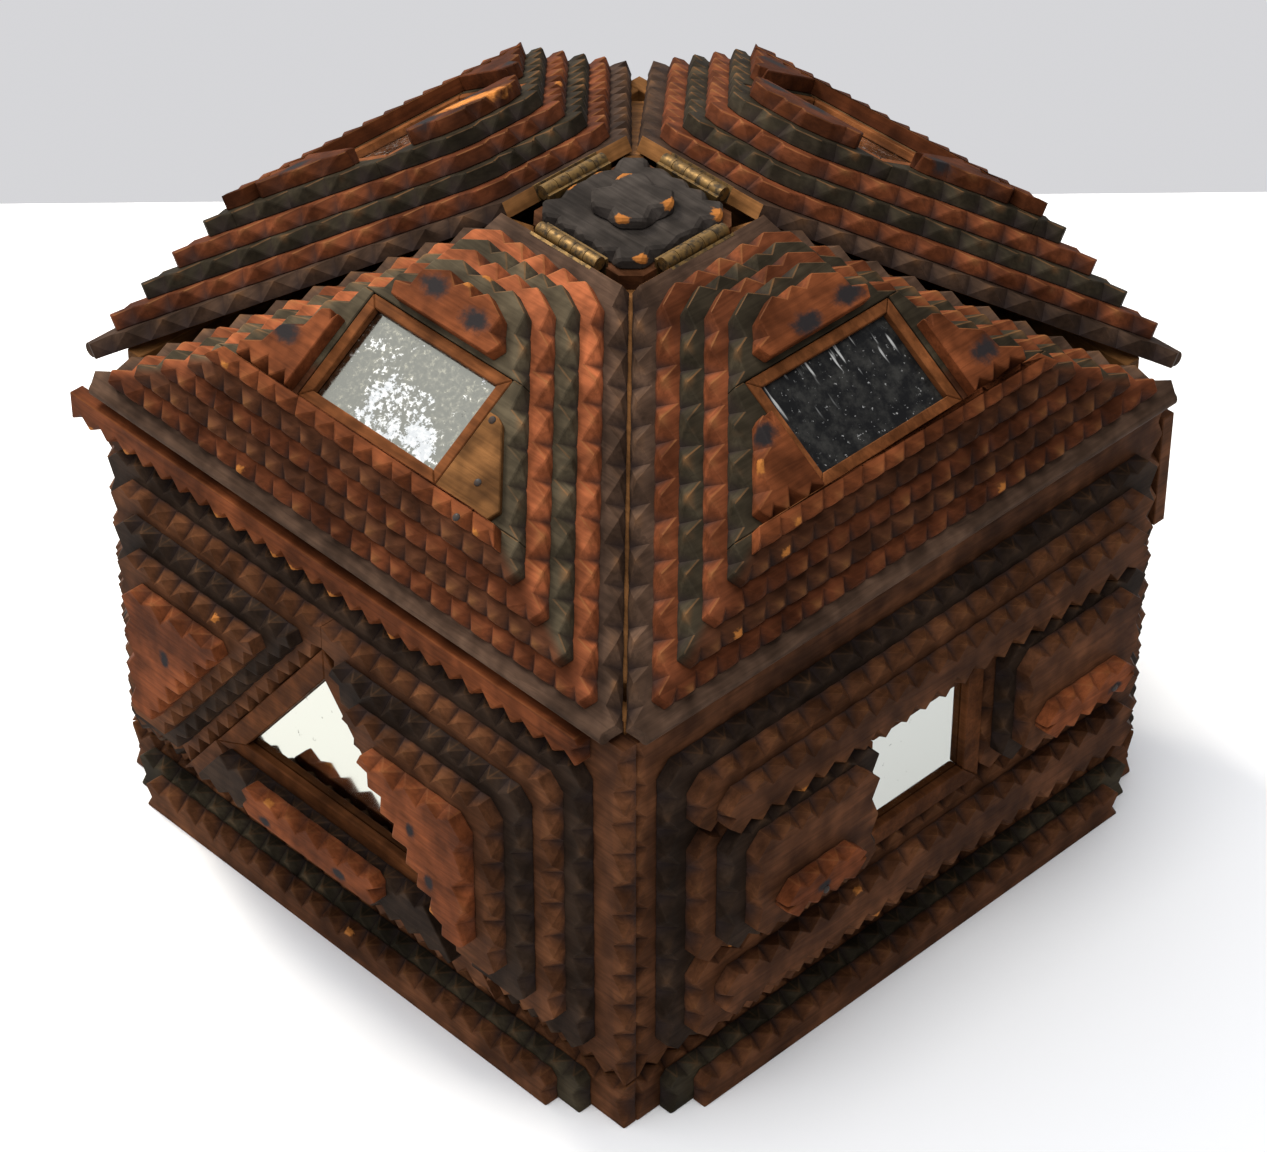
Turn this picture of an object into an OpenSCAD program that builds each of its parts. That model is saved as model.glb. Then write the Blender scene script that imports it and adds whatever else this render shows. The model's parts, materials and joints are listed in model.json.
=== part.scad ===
// Tramp art box: a square chip-carved box with four roof lids hinged round a small fixed cap.
// Millimetres, +Z up, origin at the middle of the underside. The front wall faces -Y.
// Sides are numbered 0 front (-Y), 1 right (+X), 2 back (+Y), 3 left (-X).

/* [Box] */
// Outside width of the square of wall boards
box_side = 220; // [205:1:240]
// Thickness of the wall boards
wall_t = 6; // [4:0.5:8]
// Thickness of the floor board
floor_t = 6; // [4:0.5:10]
// Thickness of the crossed dividers
divider_t = 6; // [4:0.5:8]
// Height of the hinge axes above the table
hinge_h = 213; // [206:0.5:224]

/* [Carving] */
// Thickness of one carved layer
tier_t = 5; // [3.5:0.25:6]
// Length of one tooth along a level edge
row_pitch = 8.5; // [7:0.5:12]
// Length of one tooth along an upright edge or a hip
column_pitch = 12; // [9:0.5:14]
// How deep the notches are cut
tooth_depth = 3; // [1.5:0.25:3.5]
// How far the corners of a carved layer are clipped
corner_cut = 5; // [2:0.5:7]

/* [Wall layers] */
// Height of the wall's carved field that the rows and windows below are drawn for
rows_height = 129.5; // [125:0.5:135]
// Gap between the plinth and the lowest wall layer
plinth_gap = 1; // [0.5:0.5:4]
// Gap between the top of the lowest wall layer and the wall's top edge
band_gap = 5; // [3.5:0.5:8]
// Inset of the dark frame layer at the sides
frame_inset = 7; // [5:0.5:10]
// Drop of the dark frame layer below the lowest layer's top
frame_drop = 12.5; // [12:0.5:16]
// Rise of the dark frame layer above the lowest layer's foot
frame_rise = 7; // [5:0.5:10]
// Inset of each further layer at the sides
side_step = 7; // [6:0.25:8]
// Drop of each further layer at the top
row_step = 6.4; // [5.5:0.2:7]
// Rise of each further layer at the foot
low_step = 9; // [8:0.25:9.5]

/* [Windows] */
// Height of the foot of a triangular window
gable_base = 51; // [48:0.5:54]
// Half the width of a triangular window at its foot
gable_half = 54; // [50:0.5:58]
// Wood left over the tip of a triangular window
gable_margin = 8; // [6:0.5:10]
// Height of the foot of the stack under a triangular window
sill_low = 29; // [27:0.5:32]
// Half the length of the petal under a triangular window
sill_petal_half = 30; // [22:0.5:36]
// Height of the foot of a rectangular window
window_base = 59; // [56:0.5:62]
// Step back of each layer from a triangular window's sides
gable_step = 5; // [4:0.25:6]
// Half the width of a rectangular window
window_half = 27.5; // [24:0.5:30]
// How far a rectangular window lies right of the wall's middle
window_shift = -4.5; // [-6:0.5:0]
// How far the third layer hangs over a rectangular window's top
window_lap = 2; // [0:0.25:3]
// How far the third layer hangs over a rectangular window's left side
side_lap = 4.5; // [0:0.25:5]
// Height of the rail over a rectangular window
rail_h = 19.2; // [18:0.2:22]
// Rise of a stile's petal above the window's foot
petal_rise = 14; // [12:0.5:16]
// Height of a stile's petal
petal_h = 12; // [10:0.5:14]
// Gap between the left-hand petal and the window
petal_clear = 10; // [6:0.5:14]
// Step back of each layer from a rectangular window
window_step = 4; // [3:0.25:5]
// Thickness of the mirror glass
glass_t = 2; // [1.4:0.2:2.2]
// Width of the plain bead over the edge of a wall mirror
bead_w = 7; // [4:0.5:9]
// Height of the beads
bead_h = 2.8; // [1.4:0.2:2.8]

/* [Plinth] */
// Heights of the plinth's three strips, from the wall outwards
plinth_h = [17, 14, 11];
// Inset of each further plinth strip at its ends
plinth_step = 9; // [7:0.5:12]

/* [Roof] */
// Slope of a shut lid
roof_pitch = 34; // [32:0.5:36]
// How far the two rear lids stand open
rear_lift = 3; // [0:0.5:4]
// Overhang of the lids past the wall boards
eaves_overhang = 7.6; // [6.5:0.2:9]
// Thickness of a lid board
lid_t = 5; // [4:0.25:6]
// Length of a lid's slope that its layers and mirror below are drawn for
slope_length = 110.7; // [106:0.1:116]
// Step back of each lid layer from the one below
lid_step = 5.2; // [4.5:0.1:5.6]
// Gap between neighbouring lids at a hip
hip_gap = 0.6; // [0.4:0.1:1.5]
// Width of a lid's mirror glass
lid_glass_w = 58; // [52:1:60]
// Height of a lid's mirror glass, along the slope
lid_glass_h = 36.5; // [34:0.5:38]
// Distance of a lid mirror's middle from the eaves, along the slope
lid_glass_up = 50; // [49:0.5:51]
// Width of the bead round a lid mirror
lid_bead_w = 3.5; // [2.5:0.25:5]
// Thickness of the worn remnant of the front lid's right petal
remnant_t = 2; // [1:0.5:4]

/* [Cap and platform] */
// Side of the platform
platform_side = 45.6; // [44:0.2:50]
// Side of the lower cap layer
cap_side = 42; // [36:0.5:42.5]
// Side of the upper cap layer
cap_top_side = 22; // [16:0.5:28]
// Thickness of each cap layer
cap_t = 4; // [3:0.25:6]
// Thickness of the platform
platform_t = 5; // [4:0.25:8]
// Depth of the platform's top below the hinge axes
platform_drop = 2.5; // [2:0.25:4]

/* [Hinges] */
// Length of a hinge
hinge_len = 25; // [20:0.5:28]
// Gap between a board's edge and the hinge axis
hinge_gap = 2.4; // [2.3:0.1:3]
// Diameter of a hinge barrel
barrel_d = 4.4; // [3.6:0.1:4.4]
// Diameter of a hinge pin
pin_d = 1.9; // [1.5:0.1:2.2]
// Thickness of a hinge leaf
leaf_t = 0.9; // [0.6:0.1:1.2]
// Knuckles on one hinge, an odd number
knuckles = 5; // [3:2:7]

/* [Trim] */
// Height of the notched strip under the front eaves
strip_h = 10; // [7:0.5:10.5]
// How far the front strip runs past the left-hand corner
strip_left = 9; // [0:0.5:10]
// How far the front strip stops short of the right-hand corner
strip_right = 8; // [0:0.5:20]
// Length of the plain strip in the rear right corner
corner_strip_h = 41; // [20:1:60]
// Depth of that strip's top below the lowest layer's top
corner_strip_drop = 6; // [0:0.5:10]

/* [Hidden] */
$fn = 48;
// Running clearance of a hinge pin, all round
pin_clear = 0.05;
// Gap between knuckles, and between glued pieces laid side by side
joint_gap = 0.1;
// Gap round a mirror in its frame
glass_clear = 0.3;
// Gap between a shut lid and what it lies on
rest_clear = 0.3;

wall_face = box_side / 2;
axis_out = platform_side / 2 + hinge_gap;
lid_under = lid_t / 2;
eaves_out = wall_face + eaves_overhang;
hip_angle = atan(cos(roof_pitch));

brown = "#7d4e35";
red = "#8e4b38";
dark = "#403a33";
black = "#2b2927";
bare = "#a9793f";
glass = "#c9cdcc";
brass = "#b8944a";

// Carved outlines

function unit(v) = v / norm(v);

// Direction into a counter-clockwise outline from its edge a to b
function inward(a, b) = let (e = unit(b - a)) [-e[1], e[0]];

// Tooth length along an edge's direction: $slant_pitch is the one for sloping edges
function edge_pitch(e) =
    abs(e[1]) < 0.01 ? row_pitch : abs(e[0]) < 0.01 ? column_pitch : $slant_pitch;

// Edge from a towards b: tooth tips lie on it, and the notches are cut inwards
function carved_edge(a, b) =
    let (n = max(1, round(norm(b - a) / edge_pitch(b - a))), cut = inward(a, b) * tooth_depth)
    [for (i = [0 : n - 1]) each [a + (b - a) * (i / n), a + (b - a) * ((i + 0.5) / n) + cut]];

// Carved outline round corners c. cuts holds each corner's clip, and plain lists the edges left straight
function carved(c, cuts, plain = []) =
    let (n = len(c))
    [for (i = [0 : n - 1])
        let (j = (i + 1) % n, h = (i + n - 1) % n)
        let (start = c[i] + unit(c[j] - c[i]) * cuts[i], stop = c[j] + unit(c[i] - c[j]) * cuts[j])
        each concat(
            cuts[i] > 0 ? [c[i] + unit(c[h] - c[i]) * cuts[i]] : [],
            len(search(i, plain)) > 0 ? [start] : carved_edge(start, stop))];

function same_cuts(c) = [for (p = c) corner_cut];

// Outline moved inwards by d along every edge
function inset(c, d) =
    let (n = len(c))
    [for (i = [0 : n - 1])
        let (a = unit(c[(i + n - 1) % n] - c[i]), b = unit(c[(i + 1) % n] - c[i]))
        c[i] + (a + b) * d / abs(a[0] * b[1] - a[1] * b[0])];

function rect(u0, u1, v0, v1) = [[u0, v0], [u1, v0], [u1, v1], [u0, v1]];

// Mirror image of an outline in the middle line, kept counter-clockwise
function flipped(c) = [for (i = [len(c) - 1 : -1 : 0]) [-c[i][0], c[i][1]]];

// Edge i of an outline, after flipped() has turned the order round
function flipped_edge(n, i) = (2 * n - 2 - i) % n;

module slab(outline, w, t) translate([0, 0, w]) linear_extrude(t) polygon(outline);

// A carved layer with all corners clipped
module tier(c, w, plain = [], t = tier_t) slab(carved(c, same_cuts(c), plain), w, t);

// Mitred beads laid over the edge of a glass outline
module beads(c, w, width) {
    in = inset(c, width);
    n = len(c);
    for (i = [0 : n - 1]) {
        j = (i + 1) % n;
        g = unit(c[j] - c[i]) * joint_gap;
        slab([c[i] + g, c[j] - g, in[j] - g, in[i] + g], w, bead_h);
    }
}

// Frames of the sides: wall drawings have u across, v up and w outwards from the wall boards' face
module on_wall(side) {
    $slant_pitch = row_pitch;
    rotate([0, 0, 90 * side]) translate([0, -wall_face, 0]) rotate([90, 0, 0]) children();
}

// Lid drawings have u along the hinge, v up the slope from the hinge axis and w outwards from it
module on_lid(side) {
    $slant_pitch = column_pitch;
    rotate([0, 0, 90 * side]) translate([0, -axis_out, hinge_h]) rotate([lid_pitch(side), 0, 0]) children();
}

function lid_pitch(side) = side >= 2 ? roof_pitch - rear_lift : roof_pitch;

// Height of a shut lid's underside at a distance from the middle of the box
function under_height(out, pitch) =
    hinge_h - (out - axis_out + lid_under * sin(pitch)) * tan(pitch) - lid_under * cos(pitch);

function wall_top(side) = under_height(wall_face, lid_pitch(side)) - rest_clear;

// Wall layers, counted from 1 for the dark frame

ground_low = plinth_h[0] + plinth_gap;
ground_top = wall_top(0) - band_gap;
function tier_right(k) = wall_face - frame_inset - (k - 1) * side_step;

// The rows keep their share of the wall's height
row_fit = (ground_top - ground_low) / rows_height;
function row_at(z) = ground_low + (z - plinth_h[0] - plinth_gap) * row_fit;
function tier_high(k) = ground_top - (frame_drop + (k - 1) * row_step) * row_fit;
function tier_low(k) = ground_low + (frame_rise + (k - 1) * low_step) * row_fit;
function tier_w(k) = k * tier_t;

// Triangular window: its right-hand side at height v, moved away from the opening by d
gable_foot = row_at(gable_base);
gable_tip = tier_high(2) - gable_margin * row_fit;
gable_run = gable_half / (gable_tip - gable_foot);
function gable_u(v, d) = (gable_tip - v) * gable_run + d * sqrt(1 + gable_run * gable_run);

gable_hole = [[-gable_half, gable_foot], [gable_half, gable_foot], [0, gable_tip]];
window_top = tier_high(2) - rail_h * row_fit;
window_foot = row_at(window_base);
window_left = window_shift - window_half;
window_right = window_shift + window_half;
window_hole = rect(window_left, window_right, window_foot, window_top);

function is_gable(side) = side % 2 == 0;
function hole(side) = is_gable(side) ? gable_hole : window_hole;

// Right-hand stack beside a triangular window
function spandrel(k) =
    let (d = (k - 2) * gable_step, lo = tier_low(k), hi = tier_high(k))
    k == 2
        ? [[gable_u(lo, 0), lo], [tier_right(k), lo], [tier_right(k), hi],
           [joint_gap, hi], [joint_gap, gable_tip - joint_gap / gable_run]]
        : [[gable_u(lo, d), lo], [tier_right(k), lo], [tier_right(k), hi], [gable_u(hi, d), hi]];

// Sill stack under a triangular window
sill_step = 7.5;
sill_lean = 2;
function sill_foot(k) = row_at(sill_low + (k - 2) * sill_step);
function sill_head(k) = gable_foot + (k - 2) * sill_lean * row_fit;
function sill(k) =
    let (lo = sill_foot(k), hi = sill_head(k), back = -joint_gap - (k - 2) * gable_step)
    [[-gable_u(lo, back), lo], [gable_u(lo, back), lo], [gable_u(hi, back), hi], [-gable_u(hi, back), hi]];

module gable_layer(k) {
    w = tier_w(k);
    if (k == 2) {
        c = spandrel(2);
        cuts = [0, corner_cut, corner_cut, 0, 0];
        slab(carved(c, cuts, [3]), w, tier_t);
        slab(carved(flipped(c), [0, 0, corner_cut, corner_cut, 0], [flipped_edge(5, 3)]), w, tier_t);
    } else {
        c = spandrel(k);
        cuts = [0, corner_cut / 2, corner_cut, corner_cut];
        flip_cuts = [corner_cut, corner_cut, corner_cut / 2, 0];
        slab(carved(c, cuts, [0]), w, tier_t);
        slab(carved(flipped(c), flip_cuts, [flipped_edge(4, 0)]), w, tier_t);
    }
    sill_cuts = k == 2 ? [0, 0, 0, 0] : [corner_cut / 2, corner_cut / 2, 0, 0];
    if (k <= 3) slab(carved(sill(k), sill_cuts, [1, 3]), w, tier_t);
}

// Rails and stiles round a rectangular window
rail_gap = 3 * row_fit;
rail_foot = window_top + joint_gap;
function rail(k) = rect(-tier_right(k), tier_right(k), k == 2 ? rail_foot : rail_foot - window_lap, tier_high(k));
function foot_rail(k) = rect(-tier_right(k), tier_right(k), sill_foot(k), window_foot - (k - 2) * 2 * rail_gap);
function stile_low(k) = window_foot + joint_gap + (k - 2) * window_step * row_fit;
function stile_high(k) = window_top - window_lap - max(0, k - 3) * rail_gap;
function right_stile(k) = rect(window_right + (k - 2) * window_step, tier_right(k), stile_low(k), stile_high(k));
function left_stile(k) =
    rect(-tier_right(k), k == 2 ? window_left : window_left + side_lap - (k - 3) * tier_t,
         stile_low(k), stile_high(k));
petal_low = window_foot + petal_rise * row_fit;
petal_high = petal_low + petal_h * row_fit;
right_petal = rect(window_right + 3 * window_step, tier_right(5), petal_low, petal_high);
left_petal = rect(-tier_right(5), window_left - petal_clear, petal_low, petal_high);

// The front wall's lowest layers run on to cover the ends of the right wall's
function corner_reach(side) = side == 0 ? tier_t - glass_clear : 0;

// Box pieces

module floor_board() color(bare) {
    side = box_side - 2 * wall_t;
    translate([-side / 2, -side / 2, 0]) cube([side, side, floor_t]);
}

// Each wall's reach to the left and right: the front wall covers both of its corners
function wall_left_end(side) = side == 0 ? wall_face : wall_face - wall_t;
function wall_right_end(side) = side == 3 ? wall_face - wall_t : wall_face;

module wall_board(side) color(brown)
    on_wall(side) slab(rect(-wall_left_end(side), wall_right_end(side), 0, wall_top(side)), -wall_t, wall_t);

module wall_brown_tiers(side) color(brown) on_wall(side) {
    ground = rect(-wall_face, wall_face + corner_reach(side), ground_low, ground_top);
    slab(carved(ground, [0, 0, 0, 0], [2]), 0, tier_t);
    if (is_gable(side)) {
        gable_layer(2);
        gable_layer(4);
    } else {
        for (k = [2, 3]) {
            glue = k == 3 ? joint_gap : 0;
            tier(rail(k), tier_w(k) + glue, t = tier_t - glue);
            tier(foot_rail(k), tier_w(k) + glue, t = tier_t - glue);
        }
        for (k = [2, 4]) {
            tier(right_stile(k), tier_w(k));
            tier(left_stile(k), tier_w(k));
        }
    }
}

module wall_dark_tiers(side) color(dark) on_wall(side) {
    tier(rect(-tier_right(1), tier_right(1), tier_low(1), tier_high(1)), tier_w(1));
    if (is_gable(side)) gable_layer(3);
    else {
        tier(right_stile(3), tier_w(3));
        tier(left_stile(3), tier_w(3));
    }
}

module wall_petals(side) color(red) on_wall(side) {
    if (is_gable(side)) {
        gable_layer(5);
        c = rect(-sill_petal_half, sill_petal_half, sill_foot(4), sill_head(4));
        slab(carved(c, [for (p = c) corner_cut / 2], [0]), tier_w(4), tier_t);
    } else {
        tier(right_petal, tier_w(5));
        tier(left_petal, tier_w(5));
    }
}

function glass_outline(side) = inset(hole(side), glass_clear);

module wall_mirrors() color(glass)
    for (side = [0 : 3]) on_wall(side) slab(glass_outline(side), tier_w(2), glass_t);

module wall_beads() color(brown)
    for (side = [0 : 3]) on_wall(side) beads(glass_outline(side), tier_w(2) + glass_t, bead_w);

module plinth_strip(i) for (side = [0 : 3]) on_wall(side) {
    half = wall_face - i * plinth_step;
    cut = i == 0 ? 0 : corner_cut / 2;
    reach = i == 0 ? corner_reach(side) : 0;
    slab(carved(rect(-half, half + reach, 0, plinth_h[i]), [0, 0, cut, cut], [0]), tier_w(i), tier_t);
}

module base_brown_strips() color(brown) {
    plinth_strip(0);
    plinth_strip(2);
}

module base_dark_strips() color(dark) plinth_strip(1);

// Notched strip under the front eaves, just clear of the dark frame and the lid
module eaves_strip() color(brown) on_wall(0) {
    low = tier_high(1) + (ground_top - tier_high(1) - strip_h) / 2;
    c = rect(-wall_face - strip_left, wall_face - strip_right, low, low + strip_h);
    slab(carved(c, [0, 1.5, 1.5, 0], [2, 3]), tier_w(1), tier_t);
}

// Plain strip in the re-entrant rear right corner
module corner_strip() color(brown) {
    top = ground_top - corner_strip_drop;
    translate([wall_face, wall_face, top - corner_strip_h]) cube([tier_t, tier_t, corner_strip_h]);
}

// Crossed dividers, drawn along a diagonal: r from the middle, v up
divider_end = (wall_face - wall_t) * sqrt(2) - divider_t / 2 - joint_gap;
platform_low = hinge_h - platform_drop - platform_t;
divider_seat = platform_side / 2 * sqrt(2) - corner_cut / sqrt(2);
divider_drop = divider_t / 2 / sqrt(2) * tan(roof_pitch) + rest_clear;
shoulder = axis_out * sqrt(2);
function hip_height(r) = under_height(r / sqrt(2), roof_pitch) - divider_drop;

module divider(low_slot) {
    half = [[0, platform_low], [divider_seat, platform_low], [shoulder, hip_height(shoulder)],
            [divider_end, hip_height(divider_end)], [divider_end, floor_t]];
    outline = concat(half, [for (i = [len(half) - 1 : -1 : 1]) [-half[i][0], half[i][1]]]);
    slot = divider_t + 2 * joint_gap;
    middle = (floor_t + platform_low) / 2;
    slot_low = low_slot ? floor_t - 1 : middle - joint_gap;
    slot_high = low_slot ? middle + joint_gap : platform_low + 1;
    rotate([90, 0, 0]) translate([0, 0, -divider_t / 2]) linear_extrude(divider_t) difference() {
        polygon(outline);
        translate([-slot / 2, slot_low]) square([slot, slot_high - slot_low]);
    }
}

module divider_a() color(bare) rotate([0, 0, 45]) divider(true);
module divider_b() color(bare) rotate([0, 0, -45]) divider(false);

// Shallow seats for the hinge leaves, cut through the edge of a board whose edge lies at v
module leaf_seat(v, depth) {
    reach = platform_drop + platform_t + lid_t;
    len = hinge_len + 2 * joint_gap;
    translate([-len / 2, v - depth, -reach]) cube([len, 2 * depth, 2 * reach]);
}

seat_depth = leaf_t + joint_gap;

module platform() color(brown) difference() {
    half = platform_side / 2;
    c = rect(-half, half, -half, half);
    slab(carved(c, same_cuts(c), [0, 1, 2, 3]), platform_low, platform_t);
    for (side = [0 : 3]) rotate([0, 0, 90 * side]) translate([0, 0, hinge_h]) leaf_seat(-half, seat_depth);
}

platform_top = platform_low + platform_t;

module cap_layer(side, low) tier(rect(-side / 2, side / 2, -side / 2, side / 2), low, [], cap_t);

module cap_lower() color(black) cap_layer(cap_side, platform_top);
module cap_upper() color(black) cap_layer(cap_top_side, platform_top + cap_t);

// Hinges: v runs across the axis, towards the leaf's board

knuckle_len = hinge_len / knuckles;

// Leaf whose board lies on the -v side, from low to high. first is 0 for the leaf with the end knuckles
module hinge_leaf(first, low, high) difference() {
    union() {
        translate([-hinge_len / 2, -hinge_gap - leaf_t, low]) cube([hinge_len, leaf_t, high - low]);
        for (i = [first : 2 : knuckles - 1]) translate([-hinge_len / 2 + i * knuckle_len + joint_gap, 0, 0]) {
            len = knuckle_len - 2 * joint_gap;
            rotate([0, 90, 0]) cylinder(d = barrel_d, h = len);
            translate([0, -hinge_gap - leaf_t / 2, -leaf_t / 2]) cube([len, hinge_gap, leaf_t]);
        }
    }
    rotate([0, 90, 0]) translate([0, 0, -hinge_len]) cylinder(d = pin_d + 2 * pin_clear, h = 2 * hinge_len);
}

module at_hinge(side) rotate([0, 0, 90 * side]) translate([0, -axis_out, hinge_h]) children();

module hinge_fixed_leaves() color(brass)
    for (side = [0 : 3]) at_hinge(side) rotate([0, 0, 180]) hinge_leaf(0, -platform_drop - platform_t, leaf_t / 2);

module hinge_pins() color(brass)
    for (side = [0 : 3]) at_hinge(side)
        rotate([0, 90, 0]) translate([0, 0, -hinge_len / 2]) cylinder(d = pin_d, h = hinge_len);

module lid_hinge_leaf(side) color(brass) on_lid(side) hinge_leaf(1, -lid_t / 2, lid_t / 2);

// Lids: layer 0 is the board

lid_slope = (eaves_out - axis_out + lid_under * sin(roof_pitch)) / cos(roof_pitch) - hinge_gap;
lid_low = -hinge_gap - lid_slope;

// Layers and mirror keep their share of the slope
lid_fit = lid_slope / slope_length;
lid_set = lid_step * lid_fit;
glass_w = lid_glass_w * lid_fit;
glass_h = lid_glass_h * lid_fit;
glass_up = lid_glass_up * lid_fit;
function lid_half(v, k) =
    axis_out - v * cos(roof_pitch) - lid_under * sin(roof_pitch) - hip_gap - k * lid_set / cos(hip_angle);
function lid_foot(k) = lid_low + k * lid_set;
function lid_head(k) = -hinge_gap - k * lid_set;
function lid_w(k) = lid_t / 2 + (k - 1) * tier_t;

// Part of layer k between two heights on the slope
function lid_band(k, v0, v1) =
    [[-lid_half(v0, k), v0], [lid_half(v0, k), v0], [lid_half(v1, k), v1], [-lid_half(v1, k), v1]];
function lid_outline(k) = lid_band(k, lid_foot(k), lid_head(k));

lid_hole_half = glass_w / 2 + glass_clear;
lid_hole_low = lid_low + glass_up - glass_h / 2 - glass_clear;
lid_hole_high = lid_hole_low + glass_h + 2 * glass_clear;

// Board with a round nosing along the eaves and a seat for its hinge leaf
module lid_board(side) color(dark) on_lid(side) {
    c = lid_band(0, lid_low + lid_t / 2, -hinge_gap);
    nose = lid_half(c[0][1], 0) - corner_cut;
    difference() {
        union() {
            slab(carved(c, [corner_cut, corner_cut, 0, 0], [0, 2]), -lid_t / 2, lid_t);
            translate([-nose, c[0][1], 0]) rotate([0, 90, 0]) cylinder(d = lid_t, h = 2 * nose);
        }
        leaf_seat(-hinge_gap, seat_depth);
    }
}

module lid_red_tiers(side) color(red) on_lid(side) {
    tier(lid_outline(1), lid_w(1));
    tier(lid_outline(3), lid_w(3));
}

// Second dark layer, a frame of four strips round the mirror
module lid_dark_tiers(side) color(dark) on_lid(side) {
    tier(lid_outline(2), lid_w(2));
    low = lid_hole_low + joint_gap;
    high = lid_hole_high - joint_gap;
    foot = lid_band(4, lid_foot(4), lid_hole_low);
    head = lid_band(4, lid_hole_high, lid_head(4));
    side_strip = [[lid_hole_half, low], [lid_half(low, 4), low], [lid_half(high, 4), high], [lid_hole_half, high]];
    w = lid_w(4);
    slab(carved(foot, [corner_cut, corner_cut, 0, 0], [2]), w, tier_t);
    slab(carved(head, [0, 0, corner_cut, corner_cut], [0]), w, tier_t);
    slab(carved(side_strip, [0, 0, 0, 0], [0, 2, 3]), w, tier_t);
    slab(carved(flipped(side_strip), [0, 0, 0, 0], [0, 2, 3]), w, tier_t);
}

// Petals beside and above the mirror
petal_tip = 5;
petal_gap = 1.5;
function side_petal() =
    let (u = lid_hole_half + petal_gap, low = lid_hole_low)
    let (high = -(u + petal_tip + axis_out - 2 * axis_out + lid_under * sin(roof_pitch) + hip_gap
                  + 5 * lid_set / cos(hip_angle)) / cos(roof_pitch))
    [[u, low], [lid_half(low, 5), low], [u + petal_tip, high], [u, high]];

module lid_petals(side) color(red) on_lid(side) {
    w = lid_w(5);
    c = side_petal();
    cuts = [0, corner_cut, petal_tip / 3, 0];
    flip_cuts = [0, petal_tip / 3, corner_cut, 0];
    if (side == 0) slab(carved(c, cuts, [0, 1, 2, 3]), w, remnant_t);
    else slab(carved(c, cuts, [3]), w, tier_t);
    slab(carved(flipped(c), flip_cuts, [flipped_edge(4, 3)]), w, tier_t);
    tier(lid_band(5, lid_hole_high + petal_gap, lid_head(5)), w, [0]);
    foot = lid_band(5, lid_foot(5), lid_hole_low - joint_gap);
    slab(carved(foot, [0, 0, 0, 0], [1, 2, 3]), w, tier_t);
}

function lid_glass() =
    rect(-glass_w / 2, glass_w / 2, lid_hole_low + glass_clear, lid_hole_high - glass_clear);

module lid_mirror(side) color(glass) on_lid(side) slab(lid_glass(), lid_w(4), glass_t);

module lid_bead(side) color(brown) on_lid(side) beads(lid_glass(), lid_w(4) + glass_t, lid_bead_w);

floor_board();
divider_a();
divider_b();
platform();
cap_lower();
cap_upper();
base_brown_strips();
base_dark_strips();
eaves_strip();
corner_strip();
hinge_fixed_leaves();
hinge_pins();
wall_mirrors();
wall_beads();
wall_board(0);  // wall_front
wall_board(1);  // wall_right
wall_board(2);  // wall_back
wall_board(3);  // wall_left
wall_brown_tiers(0);  // front_brown_tiers
wall_brown_tiers(1);  // right_brown_tiers
wall_brown_tiers(2);  // back_brown_tiers
wall_brown_tiers(3);  // left_brown_tiers
wall_dark_tiers(0);  // front_dark_tiers
wall_dark_tiers(1);  // right_dark_tiers
wall_dark_tiers(2);  // back_dark_tiers
wall_dark_tiers(3);  // left_dark_tiers
wall_petals(0);  // front_petals
wall_petals(1);  // right_petals
wall_petals(2);  // back_petals
wall_petals(3);  // left_petals
lid_board(0);  // lid_front_board
lid_board(1);  // lid_right_board
lid_board(2);  // lid_back_board
lid_board(3);  // lid_left_board
lid_red_tiers(0);  // lid_front_red_tiers
lid_red_tiers(1);  // lid_right_red_tiers
lid_red_tiers(2);  // lid_back_red_tiers
lid_red_tiers(3);  // lid_left_red_tiers
lid_dark_tiers(0);  // lid_front_dark_tiers
lid_dark_tiers(1);  // lid_right_dark_tiers
lid_dark_tiers(2);  // lid_back_dark_tiers
lid_dark_tiers(3);  // lid_left_dark_tiers
lid_petals(0);  // lid_front_petals
lid_petals(1);  // lid_right_petals
lid_petals(2);  // lid_back_petals
lid_petals(3);  // lid_left_petals
lid_mirror(0);  // lid_front_mirror
lid_mirror(1);  // lid_right_mirror
lid_mirror(2);  // lid_back_mirror
lid_mirror(3);  // lid_left_mirror
lid_bead(0);  // lid_front_bead
lid_bead(1);  // lid_right_bead
lid_bead(2);  // lid_back_bead
lid_bead(3);  // lid_left_bead
lid_hinge_leaf(0);  // lid_front_hinge_leaf
lid_hinge_leaf(1);  // lid_right_hinge_leaf
lid_hinge_leaf(2);  // lid_back_hinge_leaf
lid_hinge_leaf(3);  // lid_left_hinge_leaf
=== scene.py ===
"""Tramp art box: cuts the notches of the stepped layers, stains the wood and lights the box on a table."""

import json
import math
import random

import bmesh
import bpy
from mathutils import Matrix, Vector


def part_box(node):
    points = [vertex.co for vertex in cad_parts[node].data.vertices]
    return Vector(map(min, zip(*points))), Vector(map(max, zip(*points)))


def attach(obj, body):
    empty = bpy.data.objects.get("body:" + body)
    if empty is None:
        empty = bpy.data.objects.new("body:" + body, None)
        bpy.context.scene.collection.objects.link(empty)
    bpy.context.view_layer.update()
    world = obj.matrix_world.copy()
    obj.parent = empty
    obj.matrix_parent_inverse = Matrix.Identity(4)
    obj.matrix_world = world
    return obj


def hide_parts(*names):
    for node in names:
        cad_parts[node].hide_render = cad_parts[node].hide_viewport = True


bl_info = {
    "name": "Tramp Art Box",
    "version": (1, 0, 0),
    "blender": (4, 5, 0),
    "location": "View3D > Sidebar > Tramp box",
    "description": "Chip-carved box of stepped layers with mirrors and four hinged roof lids",
    "category": "Object",
}

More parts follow.
